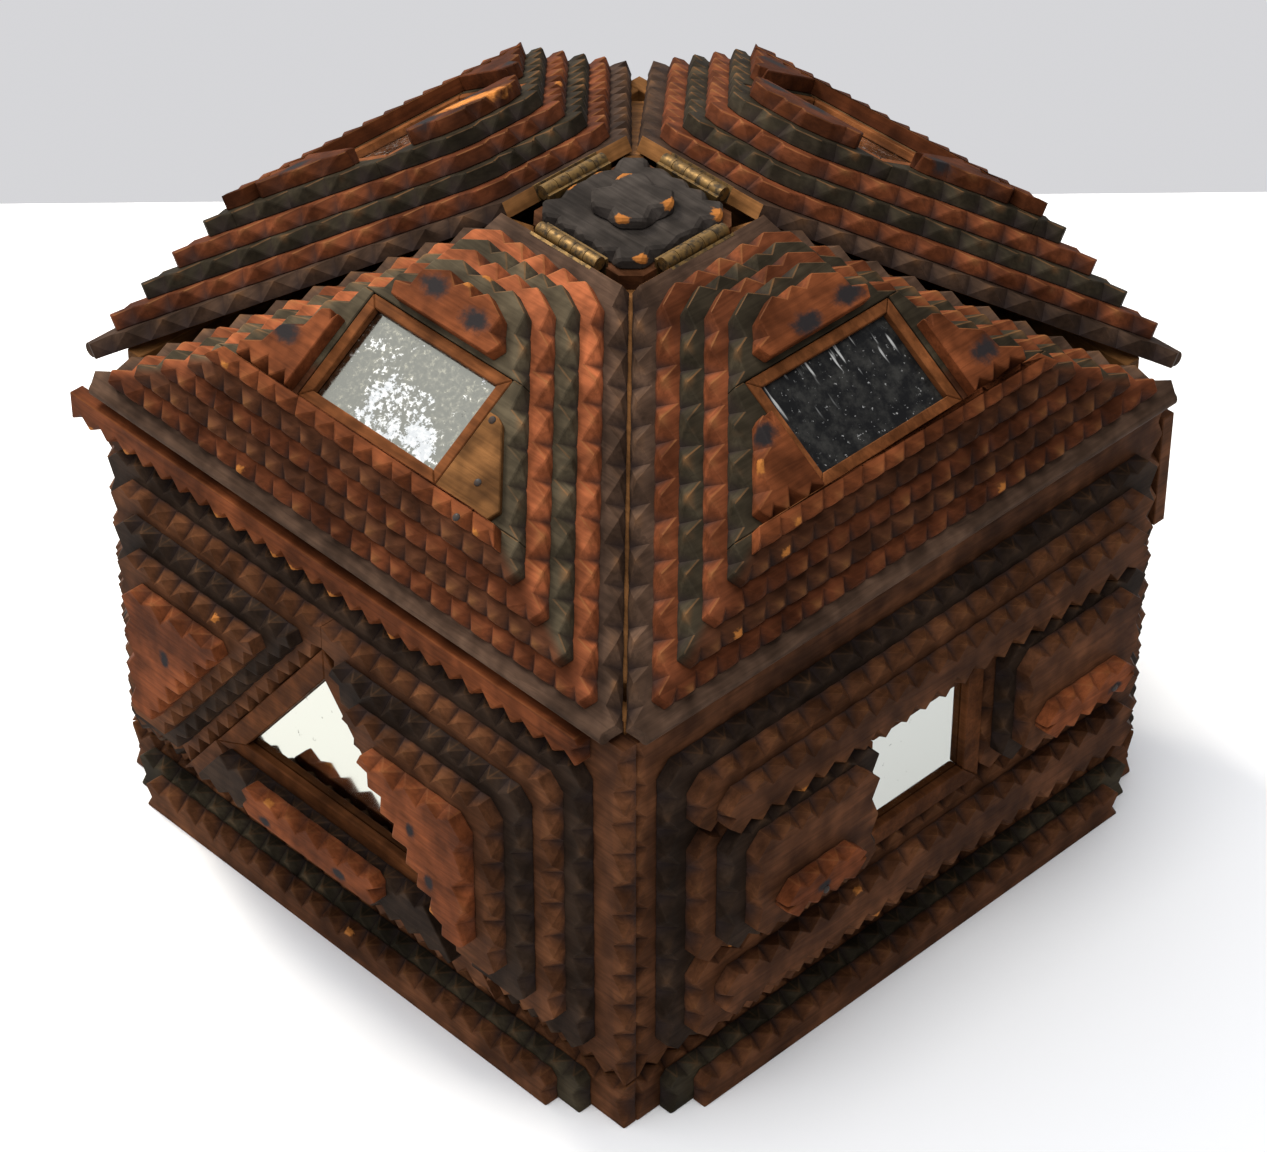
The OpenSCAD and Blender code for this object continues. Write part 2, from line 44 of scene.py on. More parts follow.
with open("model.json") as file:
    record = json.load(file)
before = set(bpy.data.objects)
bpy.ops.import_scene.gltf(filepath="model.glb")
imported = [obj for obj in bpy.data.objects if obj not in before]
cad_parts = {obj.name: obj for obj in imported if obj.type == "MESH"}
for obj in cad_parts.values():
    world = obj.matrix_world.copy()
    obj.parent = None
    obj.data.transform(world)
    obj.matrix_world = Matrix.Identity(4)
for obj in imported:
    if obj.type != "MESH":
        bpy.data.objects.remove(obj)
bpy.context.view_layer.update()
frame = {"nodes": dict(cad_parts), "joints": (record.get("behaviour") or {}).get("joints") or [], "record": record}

SIDES = ("front", "right", "back", "left")
NEAR_SIDES = ("front", "right")

# Points of a CAD mesh closer than MERGE are one, faces within FLAT are one, and edges over SHARP are sharp
MERGE = 2e-5
FLAT = math.radians(0.5)
SHARP = math.radians(20)

# Lids: thickness of the mirror, height of the petals' faces over the hinge axis, place of the eaves, half the
# width at the hinge, how much it grows down the slope, and the cosine of the hip's angle to the slope
GLASS = 0.002
LID_TOP = 0.0275
EAVES = -0.113
HIP_HALF = 0.0252
HIP_SPREAD = 0.829
HIP_COSINE = 0.77

# Burnt ovals: place in the drawing of a wall or lid, and half sizes
GABLE_SPOTS = (
    ((-0.056, 0.091, 0.14), (0.0022, 0.0038, 0.004)),
    ((0.0535, 0.094, 0.14), (0.002, 0.003, 0.004)),
    ((0.0605, 0.079, 0.14), (0.002, 0.003, 0.004)),
    ((-0.0194, 0.0465, 0.135), (0.003, 0.0018, 0.004)),
    ((0.0139, 0.0475, 0.135), (0.003, 0.0018, 0.004)))
WINDOW_SPOTS = (
    ((0.0656, 0.0775, 0.14), (0.003, 0.002, 0.004)),
    ((-0.06, 0.0785, 0.14), (0.003, 0.002, 0.004)))
FRONT_LID_SPOTS = ((-0.0425, -0.0683), (-0.0089, -0.0344), (0.0099, -0.0368))
OTHER_LID_SPOTS = ((-0.0031, -0.0401), (0.0141, -0.0391), (-0.0385, -0.0608), (0.0416, -0.073))
LID_SPOT_SIZE = (0.0056, 0.0037, 0.004)

# Torn oval on a petal of the left lid: place, turn in the lid's plane and half sizes
TORN_PLACE = (-0.001, -0.0363, LID_TOP)
TORN_TURN = math.radians(146)
TORN_SIZE = (0.0125, 0.0045, 0.004)

# Scraped petal of the front lid: where it begins across the lid and up the slope
SCRAPED_FROM = (0.03, -0.0815)

# Nail heads: size, and places in the drawings of the front lid and the right wall
NAIL_RADIUS = 0.0012
NAIL_FLATNESS = 0.45
LID_NAILS = ((0.0422, -0.0744, 0.0245), (0.0333, -0.0576, 0.0245), (0.0456, -0.086, LID_TOP))
WALL_NAILS = ((0.0656, 0.0775, 0.14), (-0.059, 0.0765, 0.14))

# Bright crackle of the lid mirrors: its middle in the lid's drawing and its half sizes
CRACKLE_PLACE = (0.008, -0.072, 0.012)
CRACKLE_SIZE = (0.024, 0.016, 0.03)

# Painted light and shade of the lids: factors on the stains of the rows along the hips, the rows along the eaves,
# the petals and the board, above one where light falls on a lid and below one where it lies in shade; the eaves
# rows all take painted shade. The last line gives the shares of the dark and the red stain in the near lids' dark
# rows along the eaves
LID_PAINTED_LIGHT = {
    "front": (1.75, 0.67, 0.95, 1.0),
    "right": (0.8, 0.48, 0.95, 1.0),
    "back": (0.7, 0.7, 0.5, 0.6),
    "left": (0.7, 0.7, 0.5, 0.6)}
DARK_SHARE, RED_SHARE = 0.45, 0.55

# Shares of broken tips where wear is heavier than elsewhere
WALL_CHIPS = 0.025
PETAL_CHIPS = 0.12
STRIP_CHIPS = 0.2
CAP_CHIPS = 0.35

# The cap's teeth are worn shallower than its solids, and the lid boards are cut straight
CAP_DEPTHS = (("cap_lower", -0.0016), ("cap_upper", -0.0005))
BOARD_WOBBLE = 0.0001

# How worn a point is, from the foot of a notch to the tip of a tooth, the low values also setting its grime and
# painted shade, how far its cut strays, and how far the fresh wood of a broken corner reaches
HOLLOW, FOOT, CUT, PLAIN, TIP = 0.0, 0.3, 0.35, 0.5, 1.0
CUT_STRAY = 1.0
TIP_STRAY = 0.7
CORNER_CHIP = 1.3

# A rubbed face, lightened as rubbed stain and as a painted highlight of the light from above: how narrow it is,
# how much more than its layer it looks up, and how far at least
RUBBED_LIT_WIDTH = 2.1
RUBBED_LIT_LEAN = 0.05
RUBBED_LIT_LEVEL = 0.6

# Camera: place, turn about the upright, tilt down, and width of the sensor in millimetres
EYE = Vector((0.7653, -0.7436, 0.9510))
TURN = math.radians(45.81)
TILT = math.radians(39.35)
SENSOR = 36

# Table: its reach, and how far behind the box its far edge lies at the right and the left
TABLE_REACH = 4
TABLE_BACK = (0.3832, 0.2499)

# Room light: its dark and bright sides, and where it is bright
ROOM_DARK = (0.262, 0.27, 0.3)
ROOM_BRIGHT = (0.92, 0.95, 1.03)
ROOM_WINDOW = (-0.62, -0.5, 0.6)

# Lamps: name, place, size and colour, and the point they look at
LAMPS = (
    ("key", Vector((-1.15, 0.0, 1.25)), 0.5, (1.0, 0.94, 0.84)),
    ("overhead", Vector((0.3, -0.35, 1.7)), 1.4, (1.0, 0.98, 0.95)))
LAMP_AIM = Vector((0, 0, 0.1))


# Frames of the walls and lids

def turned(side):
    """Turn that takes the front of the box to a side."""
    return Matrix.Rotation(math.radians(90 * SIDES.index(side)), 4, "Z")


def wall_place(side):
    """Matrix of a wall's drawing: u across, v up, w outwards from the box's middle."""
    return turned(side) @ Matrix.Rotation(math.radians(90), 4, "X")


def lid_pitch(side):
    """Slope of a lid at rest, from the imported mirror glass."""
    low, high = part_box(f"lid_{side}_mirror")
    rise = high.z - low.z
    axis = 1 if side in ("front", "back") else 0
    run = high[axis] - low[axis]
    angle = math.atan2(rise, run)
    for _ in range(30):
        length = (run - GLASS * math.sin(angle)) / math.cos(angle)
        angle = math.asin((rise - GLASS * math.cos(angle)) / length)
    return angle


def lid_place(side):
    """Matrix of a lid's drawing: u along the hinge, v up the slope from the hinge axis, w outwards."""
    joint = next(j for j in frame["joints"] if j["child"] == f"lid_{side}")
    move = Matrix.Translation(Vector(joint["pos_m"]))
    return move @ turned(side) @ Matrix.Rotation(lid_pitch(side), 4, "X")


# Settings

def colour_property(name, description, default):
    return bpy.props.FloatVectorProperty(
        name=name, description=description, subtype="COLOR", size=3, default=default, min=0, max=1)


class CarvingSettings(bpy.types.PropertyGroup):
    """How the notches are cut."""

    notch_slope: bpy.props.FloatProperty(
        name="Notch slope", description="How far a notch runs out to the edge at the foot of its layer",
        default=0.92, min=0.0, max=1.0, subtype="FACTOR")
    extra_depth: bpy.props.FloatProperty(
        name="Extra depth", description="How much deeper the knife went than the drawing",
        default=0.0014, min=0.0, max=0.002, subtype="DISTANCE")
    wobble: bpy.props.FloatProperty(
        name="Hand wobble", description="How far a cut strays from its line",
        default=0.0006, min=0.0, max=0.001, subtype="DISTANCE")
    softening: bpy.props.FloatProperty(
        name="Softening", description="Width of the worn rounding along the edges",
        default=0.0003, min=0.0, max=0.001, subtype="DISTANCE")
    chips: bpy.props.FloatProperty(
        name="Chipped tips", description="Share of the tooth tips that are broken to bare wood",
        default=0.012, min=0.0, max=0.5, subtype="FACTOR")
    seed: bpy.props.IntProperty(name="Seed", description="Seed of all that is random", default=7, min=0)


class FinishSettings(bpy.types.PropertyGroup):
    """Colours of the wood, metal and glass."""

    red: colour_property("Red stain", "Stain of the red lid layers", (0.19, 0.055, 0.021))
    dark: colour_property("Dark stain", "Stain of the dark lid layers and plinth", (0.045, 0.035, 0.021))
    wall_dark: colour_property("Dark wall stain", "Stain of the dark wall layers", (0.03, 0.018, 0.0115))
    brown: colour_property("Brown stain", "Stain of the brown wall layers", (0.1, 0.039, 0.0165))
    board: colour_property("Lid board stain", "Faded stain of the lid boards", (0.085, 0.049, 0.031))
    petal: colour_property("Petal stain", "Stain of the petals on top of the layers", (0.165, 0.047, 0.016))
    bead: colour_property("Bead stain", "Stain of the plain beads round the mirrors", (0.165, 0.056, 0.018))
    black: colour_property("Black paint", "Paint of the cap", (0.04, 0.033, 0.028))
    bare: colour_property("Bare wood", "Wood with no stain left", (0.21, 0.092, 0.03))
    chip: colour_property("Fresh chip", "Wood where a tip has broken off", (0.3, 0.11, 0.025))
    burnt: colour_property("Burnt spot", "Dark oval spots on the petals", (0.02, 0.017, 0.017))
    brass: colour_property("Brass", "Metal of the hinges", (0.17, 0.098, 0.028))
    silver: colour_property("Mirror silver", "Foxed silver of the lid mirrors", (0.36, 0.352, 0.29))


class StageSettings(bpy.types.PropertyGroup):
    """Table, light and camera."""

    table: colour_property("Table", "Colour of the table", (0.95, 0.95, 0.94))
    backdrop: colour_property("Backdrop", "Colour behind the table", (0.67, 0.67, 0.69))
    key: bpy.props.FloatProperty(
        name="Key light", description="Power of the main light", default=30.0, min=0, unit="POWER")
    overhead: bpy.props.FloatProperty(
        name="Overhead light", description="Power of the light overhead", default=18.0, min=0, unit="POWER")
    lens: bpy.props.FloatProperty(
        name="Focal length", description="Lens of the camera",
        default=126.6, min=1, subtype="DISTANCE_CAMERA")


class BoxSettings(bpy.types.PropertyGroup):
    """All settings of the box."""

    carving: bpy.props.PointerProperty(type=CarvingSettings, name="Carving")
    finish: bpy.props.PointerProperty(type=FinishSettings, name="Finish")
    stage: bpy.props.PointerProperty(type=StageSettings, name="Stage")


def settings():
    return bpy.context.scene.tramp_box


# Node building

def link(tree, a, b):
    tree.links.new(a, b)


def node(tree, kind, **values):
    """Adds a node. Names that are sockets set their defaults, and the others are the node's own values."""
    n = tree.nodes.new(kind)
    for key, value in values.items():
        if hasattr(n, key):
            setattr(n, key, value)
        else:
            n.inputs[key.replace("_", " ")].default_value = value
    return n


def maths(tree, operation, a, b=None, c=None, clamp=False):
    """Output of a maths node. Each value is a number or another node's output."""
    n = tree.nodes.new("ShaderNodeMath")
    n.operation = operation
    n.use_clamp = clamp
    for i, value in enumerate((a, b, c)):
        if value is None:
            continue
        if isinstance(value, (int, float)):
            n.inputs[i].default_value = value
        else:
            link(tree, value, n.inputs[i])
    return n.outputs[0]


def ranged(tree, value, a, b, c=0.0, d=1.0):
    """Smooth step of a value from a..b to c..d."""
    n = node(tree, "ShaderNodeMapRange", interpolation_type="SMOOTHSTEP")
    link(tree, value, n.inputs["Value"])
    for key, v in (("From Min", a), ("From Max", b), ("To Min", c), ("To Max", d)):
        n.inputs[key].default_value = v
    return n.outputs["Result"]


def mixed(tree, factor, a, b, blend="MIX"):
    """Colour a turned to b by a factor."""
    n = node(tree, "ShaderNodeMix", data_type="RGBA", blend_type=blend)
    if isinstance(factor, (int, float)):
        n.inputs[0].default_value = factor
    else:
        link(tree, factor, n.inputs[0])
    for i, value in ((6, a), (7, b)):
        if isinstance(value, (tuple, list)):
            n.inputs[i].default_value = (*value[:3], 1)
        else:
            link(tree, value, n.inputs[i])
    return n.outputs[2]


def noise(tree, vector, scale, detail=3.0, rough=0.55, warp=0.0):
    n = node(tree, "ShaderNodeTexNoise", Scale=scale, Detail=detail, Roughness=rough, Distortion=warp)
    link(tree, vector, n.inputs["Vector"])
    return n.outputs["Fac"]


def vectors(tree, operation, a, b):
    """Output of a vector maths node. b is a number's output for SCALE."""
    n = node(tree, "ShaderNodeVectorMath", operation=operation)
    link(tree, a, n.inputs[0])
    link(tree, b, n.inputs["Scale" if operation == "SCALE" else 1])
    return n.outputs["Value" if operation == "DOT_PRODUCT" else 0]


def named(tree, name, kind):
    """Output that reads a mesh attribute in geometry nodes."""
    return node(tree, "GeometryNodeInputNamedAttribute", data_type=kind, Name=name).outputs["Attribute"]


def socket(tree, name, kind, out=False, value=None):
    s = tree.interface.new_socket(name=name, in_out="OUTPUT" if out else "INPUT", socket_type=kind)
    if value is not None:
        s.default_value = value


# Shader groups

def stain_group():
    """Old stain on carved wood: grain, patches, grime and painted shade in the notches, rubbed tips, rubbed ridges
    that also carry a painted highlight, and fresh chips.
    """
    g = bpy.data.node_groups.get("Worn stain")
    if g:
        return g
    g = bpy.data.node_groups.new("Worn stain", "ShaderNodeTree")
    socket(g, "Stain", "NodeSocketColor", value=(0.2, 0.1, 0.05, 1))
    socket(g, "Shade", "NodeSocketColor", value=(0.1, 0.05, 0.03, 1))
    socket(g, "Rubbed", "NodeSocketColor", value=(0.4, 0.2, 0.08, 1))
    socket(g, "Chip", "NodeSocketColor", value=(0.5, 0.2, 0.04, 1))
    socket(g, "Grain", "NodeSocketVector", value=(40, 600, 600))
    socket(g, "Wear", "NodeSocketFloat", value=0.4)
    # Darkening in the notches: grime together with painted shade
    socket(g, "Dirt", "NodeSocketFloat", value=0.6)
    socket(g, "Colour", "NodeSocketColor", out=True)
    socket(g, "Roughness", "NodeSocketFloat", out=True)
    socket(g, "Height", "NodeSocketFloat", out=True)
    gin = g.nodes.new("NodeGroupInput")
    out = g.nodes.new("NodeGroupOutput")
    where = node(g, "ShaderNodeTexCoord").outputs["Object"]
    grain_map = node(g, "ShaderNodeMapping")
    link(g, where, grain_map.inputs["Vector"])
    link(g, gin.outputs["Grain"], grain_map.inputs["Scale"])
    grain = noise(g, grain_map.outputs[0], 1.0, 5.0, 0.6, 0.6)
    patch = noise(g, where, 28.0, 4.0, 0.6, 0.4)
    tooth = noise(g, where, 105.0, 2.0, 0.5)
    speck = noise(g, where, 900.0, 2.0, 0.6)
    tip = node(g, "ShaderNodeAttribute", attribute_name="tip").outputs["Fac"]
    chip = node(g, "ShaderNodeAttribute", attribute_name="chip").outputs["Fac"]
    ridge = node(g, "ShaderNodeAttribute", attribute_name="rubbed").outputs["Fac"]
    colour = mixed(g, ranged(g, patch, 0.38, 0.66), gin.outputs["Stain"], gin.outputs["Shade"])
    light = mixed(g, ranged(g, tooth, 0.3, 0.72), (0.62, 0.62, 0.62), (1.3, 1.3, 1.3))
    colour = mixed(g, 1.0, colour, light, "MULTIPLY")
    streak = mixed(g, ranged(g, grain, 0.32, 0.68), (0.7, 0.7, 0.7), (1.18, 1.18, 1.18))
    colour = mixed(g, 0.8, colour, streak, "MULTIPLY")
    worn = maths(g, "MULTIPLY", ranged(g, tip, 0.55, 1.0), ranged(g, tooth, 0.42, 0.68))
    rubbed = maths(g, "MULTIPLY", worn, gin.outputs["Wear"], clamp=True)
    colour = mixed(g, rubbed, colour, gin.outputs["Rubbed"])
    # Rubbed ridges lightened to bare wood, also a painted highlight of the light from above on faces that look up
    rubbed_lit_ridge = maths(g, "MULTIPLY", ridge, ranged(g, tooth, 0.3, 0.6, 0.15, 0.8))
    bright = maths(g, "MULTIPLY", rubbed_lit_ridge, gin.outputs["Wear"], clamp=True)
    colour = mixed(g, bright, colour, gin.outputs["Rubbed"])
    # Grime and painted shade: points towards the foot of a notch turn dark
    hollow = maths(g, "MULTIPLY", ranged(g, tip, 0.5, 0.0), gin.outputs["Dirt"], clamp=True)
    colour = mixed(g, hollow, colour, (0.02, 0.0135, 0.0125))
    ragged = maths(g, "ADD", chip, maths(g, "MULTIPLY", maths(g, "SUBTRACT", speck, 0.5), 0.5))
    broken = ranged(g, ragged, 0.6, 0.78)
    colour = mixed(g, broken, colour, gin.outputs["Chip"])
    link(g, colour, out.inputs["Colour"])
    shine = maths(g, "MULTIPLY_ADD", patch, -0.25, 0.66)
    rough = maths(g, "ADD", shine, maths(g, "MULTIPLY", speck, 0.14))
    link(g, rough, out.inputs["Roughness"])
    height = maths(g, "ADD", maths(g, "MULTIPLY", grain, 0.7), maths(g, "MULTIPLY", speck, 0.3))
    link(g, height, out.inputs["Height"])
    return g


def spot_group():
    """Oval mask round the origin of its vector, ragged at the edge."""
    g = bpy.data.node_groups.get("Ragged oval")
    if g:
        return g
    g = bpy.data.node_groups.new("Ragged oval", "ShaderNodeTree")
    socket(g, "Place", "NodeSocketVector")
    socket(g, "Raggedness", "NodeSocketFloat", value=1.5)
    socket(g, "Mask", "NodeSocketFloat", out=True)
    gin = g.nodes.new("NodeGroupInput")
    out = g.nodes.new("NodeGroupOutput")
    length = node(g, "ShaderNodeVectorMath", operation="LENGTH")
    link(g, gin.outputs["Place"], length.inputs[0])
    where = node(g, "ShaderNodeTexCoord").outputs["Object"]
    uneven = maths(g, "SUBTRACT", noise(g, where, 300.0, 4.0, 0.65), 0.5)
    rag = maths(g, "MULTIPLY", uneven, gin.outputs["Raggedness"])
    far = maths(g, "ADD", length.outputs["Value"], rag)
    link(g, ranged(g, far, 1.25, 0.45), out.inputs["Mask"])
    return g


def eaves_shade_group():
    """Mask of the lid rows along the eaves, in a lid's own drawing, against those along the hips; it places the
    painted shade of the eaves rows.
    """
    g = bpy.data.node_groups.get("Eaves rows")
    if g:
        return g
    g = bpy.data.node_groups.new("Eaves rows", "ShaderNodeTree")
    socket(g, "Place", "NodeSocketVector")
    socket(g, "Eaves", "NodeSocketFloat", value=EAVES)
    socket(g, "Mask", "NodeSocketFloat", out=True)
    gin = g.nodes.new("NodeGroupInput")
    out = g.nodes.new("NodeGroupOutput")
    part = node(g, "ShaderNodeSeparateXYZ")
    link(g, gin.outputs["Place"], part.inputs[0])
    from_eaves = maths(g, "SUBTRACT", part.outputs["Y"], gin.outputs["Eaves"])
    reach = maths(g, "MULTIPLY_ADD", part.outputs["Y"], -HIP_SPREAD, HIP_HALF)
    inside = maths(g, "SUBTRACT", reach, maths(g, "ABSOLUTE", part.outputs["X"]))
    from_hip = maths(g, "MULTIPLY", inside, HIP_COSINE)
    link(g, ranged(g, maths(g, "SUBTRACT", from_hip, from_eaves), -0.003, 0.004), out.inputs["Mask"])
    return g


# Materials

def new_material(name):
    m = bpy.data.materials.new(name)
    m.use_nodes = True
    t = m.node_tree
    t.nodes.clear()
    shader = t.nodes.new("ShaderNodeBsdfPrincipled")
    output = t.nodes.new("ShaderNodeOutputMaterial")
    link(t, shader.outputs[0], output.inputs[0])
    return m, t, shader


def bumped(t, shader, height, strength, distance):
    bump = node(t, "ShaderNodeBump", Strength=strength, Distance=distance)
    link(t, height, bump.inputs["Height"])
    link(t, bump.outputs[0], shader.inputs["Normal"])


def toned(colour, tone):
    """Colour made darker or lighter."""
    return tuple(value * tone for value in colour)


def grain_along(side):
    """Noise scale of wood whose grain runs along a side's walls and lids."""
    return (45, 650, 650) if side in ("front", "back") else (650, 45, 650)


def local_place(t, place, scale=(1, 1, 1)):
    """Object coordinates turned into a drawing's own."""
    local = node(t, "ShaderNodeMapping", vector_type="TEXTURE")
    local.inputs["Location"].default_value = place.to_translation()
    local.inputs["Rotation"].default_value = place.to_euler("XYZ")
    local.inputs["Scale"].default_value = scale
    link(t, node(t, "ShaderNodeTexCoord").outputs["Object"], local.inputs["Vector"])
    return local.outputs[0]


# The darkening in the notches is grime together with painted shade.
def stained_wood(name, stain, side, wear=0.4, dirt_and_shade=0.8, shade=0.5, spots=(), scars=(), eaves=None):
    """Stained, worn and carved wood. spots are burnt ovals and scars torn ones that show fresh wood, each a
    drawing's matrix, a place in it and half sizes. eaves is a lid's matrix and the darker colour of its eaves
    rows, which is painted shade."""
    found = bpy.data.materials.get(name)
    if found:
        return found
    f = settings().finish
    m, t, shader = new_material(name)
    g = node(t, "ShaderNodeGroup", node_tree=stain_group(), Wear=wear, Dirt=dirt_and_shade)
    g.inputs["Stain"].default_value = (*stain, 1)
    g.inputs["Shade"].default_value = (*toned(stain, shade), 1)
    g.inputs["Rubbed"].default_value = (*f.bare, 1)
    g.inputs["Chip"].default_value = (*f.chip, 1)
    g.inputs["Grain"].default_value = grain_along(side)
    colour = g.outputs["Colour"]
    # Painted shade: the rows along a lid's eaves take a darker colour than those along its hips
    if eaves:
        rows = node(t, "ShaderNodeGroup", node_tree=eaves_shade_group())
        link(t, local_place(t, eaves[0]), rows.inputs["Place"])
        along = mixed(t, rows.outputs["Mask"], tuple(stain), eaves[1])
        link(t, along, g.inputs["Stain"])
        link(t, mixed(t, 1.0, along, (shade, shade, shade), "MULTIPLY"), g.inputs["Shade"])
    fibres = ranged(t, g.outputs["Height"], 0.35, 0.65)
    for ovals, deep, pale in ((spots, f.burnt, f.burnt), (scars, f.chip, toned(f.chip, 2))):
        for place, at, half in ovals:
            oval = node(t, "ShaderNodeGroup", node_tree=spot_group())
            link(t, local_place(t, place @ Matrix.Translation(Vector(at)), half), oval.inputs["Place"])
            colour = mixed(t, oval.outputs["Mask"], colour, mixed(t, fibres, tuple(deep), tuple(pale)))
    link(t, colour, shader.inputs["Base Color"])
    link(t, g.outputs["Roughness"], shader.inputs["Roughness"])
    shader.inputs["Specular IOR Level"].default_value = 0.025
    bumped(t, shader, g.outputs["Height"], 0.35, 0.0004)
    return m


def bare_wood(side):
    bare = tuple(settings().finish.bare)
    return stained_wood(f"bare_wood_{side}", bare, side, wear=0.1, dirt_and_shade=0.1, shade=0.82)


def brass():
    found = bpy.data.materials.get("dull_brass")
    if found:
        return found
    m, t, shader = new_material("dull_brass")
    where = node(t, "ShaderNodeTexCoord").outputs["Object"]
    tarnish = noise(t, where, 420.0, 4.0, 0.6)
    colour = mixed(t, ranged(t, tarnish, 0.4, 0.68), tuple(settings().finish.brass), (0.035, 0.024, 0.012))
    link(t, colour, shader.inputs["Base Color"])
    shader.inputs["Metallic"].default_value = 0.7
    link(t, ranged(t, tarnish, 0.3, 0.7, 0.45, 0.7), shader.inputs["Roughness"])
    bumped(t, shader, tarnish, 0.2, 0.0003)
    return m


def nail_steel():
    found = bpy.data.materials.get("nail_steel")
    if found:
        return found
    m, t, shader = new_material("nail_steel")
    where = node(t, "ShaderNodeTexCoord").outputs["Object"]
    rust = noise(t, where, 1100.0, 3.0)
    colour = mixed(t, ranged(t, rust, 0.45, 0.62), (0.03, 0.027, 0.025), (0.04, 0.024, 0.016))
    link(t, colour, shader.inputs["Base Color"])
    shader.inputs["Specular IOR Level"].default_value = 0.12
    link(t, ranged(t, rust, 0.3, 0.7, 0.4, 0.75), shader.inputs["Roughness"])
    return m


def silvered_glass(name, silver, foxing, seed, place):
    """Old mirror: grey, foxed silvering whose bright crackle gathers round one place in the lid's drawing."""
    m, t, shader = new_material(name)
    where = node(t, "ShaderNodeTexCoord").outputs["Object"]
    shift = node(t, "ShaderNodeMapping")
    shift.inputs["Location"].default_value = (seed, seed * 0.7, 0)
    link(t, where, shift.inputs["Vector"])
    fine = noise(t, shift.outputs[0], 620.0, 5.0, 0.7)
    wide = noise(t, shift.outputs[0], 90.0, 3.0, 0.6)
    length = node(t, "ShaderNodeVectorMath", operation="LENGTH")
    crackle = place @ Matrix.Translation(Vector(CRACKLE_PLACE))
    link(t, local_place(t, crackle, CRACKLE_SIZE), length.inputs[0])
    near = ranged(t, length.outputs["Value"], 1.3, 0.2, 0.0, 0.3)
    patch = ranged(t, maths(t, "ADD", maths(t, "ADD", fine, wide), near), 1.2, 1.27)
    colour = mixed(t, patch, silver, (0.9, 0.9, 0.85))
    spots = ranged(t, noise(t, shift.outputs[0], 300.0, 3.0, 0.7), 0.66, 0.72)
    colour = mixed(t, maths(t, "MULTIPLY", spots, foxing), colour, (0.03, 0.03, 0.028))
    link(t, colour, shader.inputs["Base Color"])
    shader.inputs["Metallic"].default_value = 1.0
    link(t, ranged(t, fine, 0.4, 0.7, 0.1, 0.3), shader.inputs["Roughness"])
    return m


def clear_mirror():
    """Wall mirrors: clear silver with a few spots; on the front wall the silver is darker, a painted shade that
    dims what it reflects.
    """
    found = bpy.data.materials.get("wall_mirror")
    if found:
        return found
    m, t, shader = new_material("wall_mirror")
    where = node(t, "ShaderNodeTexCoord").outputs["Object"]
    spots = ranged(t, noise(t, where, 260.0, 3.0, 0.7), 0.68, 0.74)
    # Painted shade: the front wall's mirror gets a darker silver, for a dimmer reflection
    part = node(t, "ShaderNodeSeparateXYZ")
    link(t, where, part.inputs[0])
    silver = mixed(t, ranged(t, part.outputs["Y"], -0.1, -0.09), (0.5, 0.515, 0.47), (0.665, 0.68, 0.63))
    link(t, mixed(t, spots, silver, (0.16, 0.16, 0.14)), shader.inputs["Base Color"])
    shader.inputs["Metallic"].default_value = 1.0
    link(t, ranged(t, noise(t, where, 80.0), 0.3, 0.7, 0.03, 0.09), shader.inputs["Roughness"])
    return m


def blind_mirror(place):
    """Mirror that has lost its silver: near black, with pale streaks down the slope and specks."""
    m, t, shader = new_material("blind_mirror")
    where = node(t, "ShaderNodeTexCoord").outputs["Object"]
    local = local_place(t, place)
    stretched = node(t, "ShaderNodeMapping")
    stretched.inputs["Scale"].default_value = (420, 50, 1)
    link(t, local, stretched.inputs["Vector"])
    streak = ranged(t, noise(t, stretched.outputs[0], 1.0, 2.0, 0.5), 0.63, 0.7)
    upper = node(t, "ShaderNodeSeparateXYZ")
    link(t, local, upper.inputs[0])
    band = ranged(t, upper.outputs["Y"], -0.066, -0.054)
    speck = ranged(t, noise(t, where, 700.0, 3.0, 0.7), 0.64, 0.71)
    pale = maths(t, "MAXIMUM", maths(t, "MULTIPLY", streak, band), maths(t, "MULTIPLY", speck, 0.7))
    cloud = ranged(t, noise(t, where, 160.0, 5.0, 0.7), 0.4, 0.7)
    mottled = mixed(t, cloud, (0.008, 0.008, 0.008), (0.035, 0.034, 0.03))
    link(t, mixed(t, pale, mottled, (0.42, 0.42, 0.4)), shader.inputs["Base Color"])
    link(t, ranged(t, pale, 0.0, 1.0, 0.22, 0.6), shader.inputs["Roughness"])
    shader.inputs["Specular IOR Level"].default_value = 0.12
    return m


# Carving

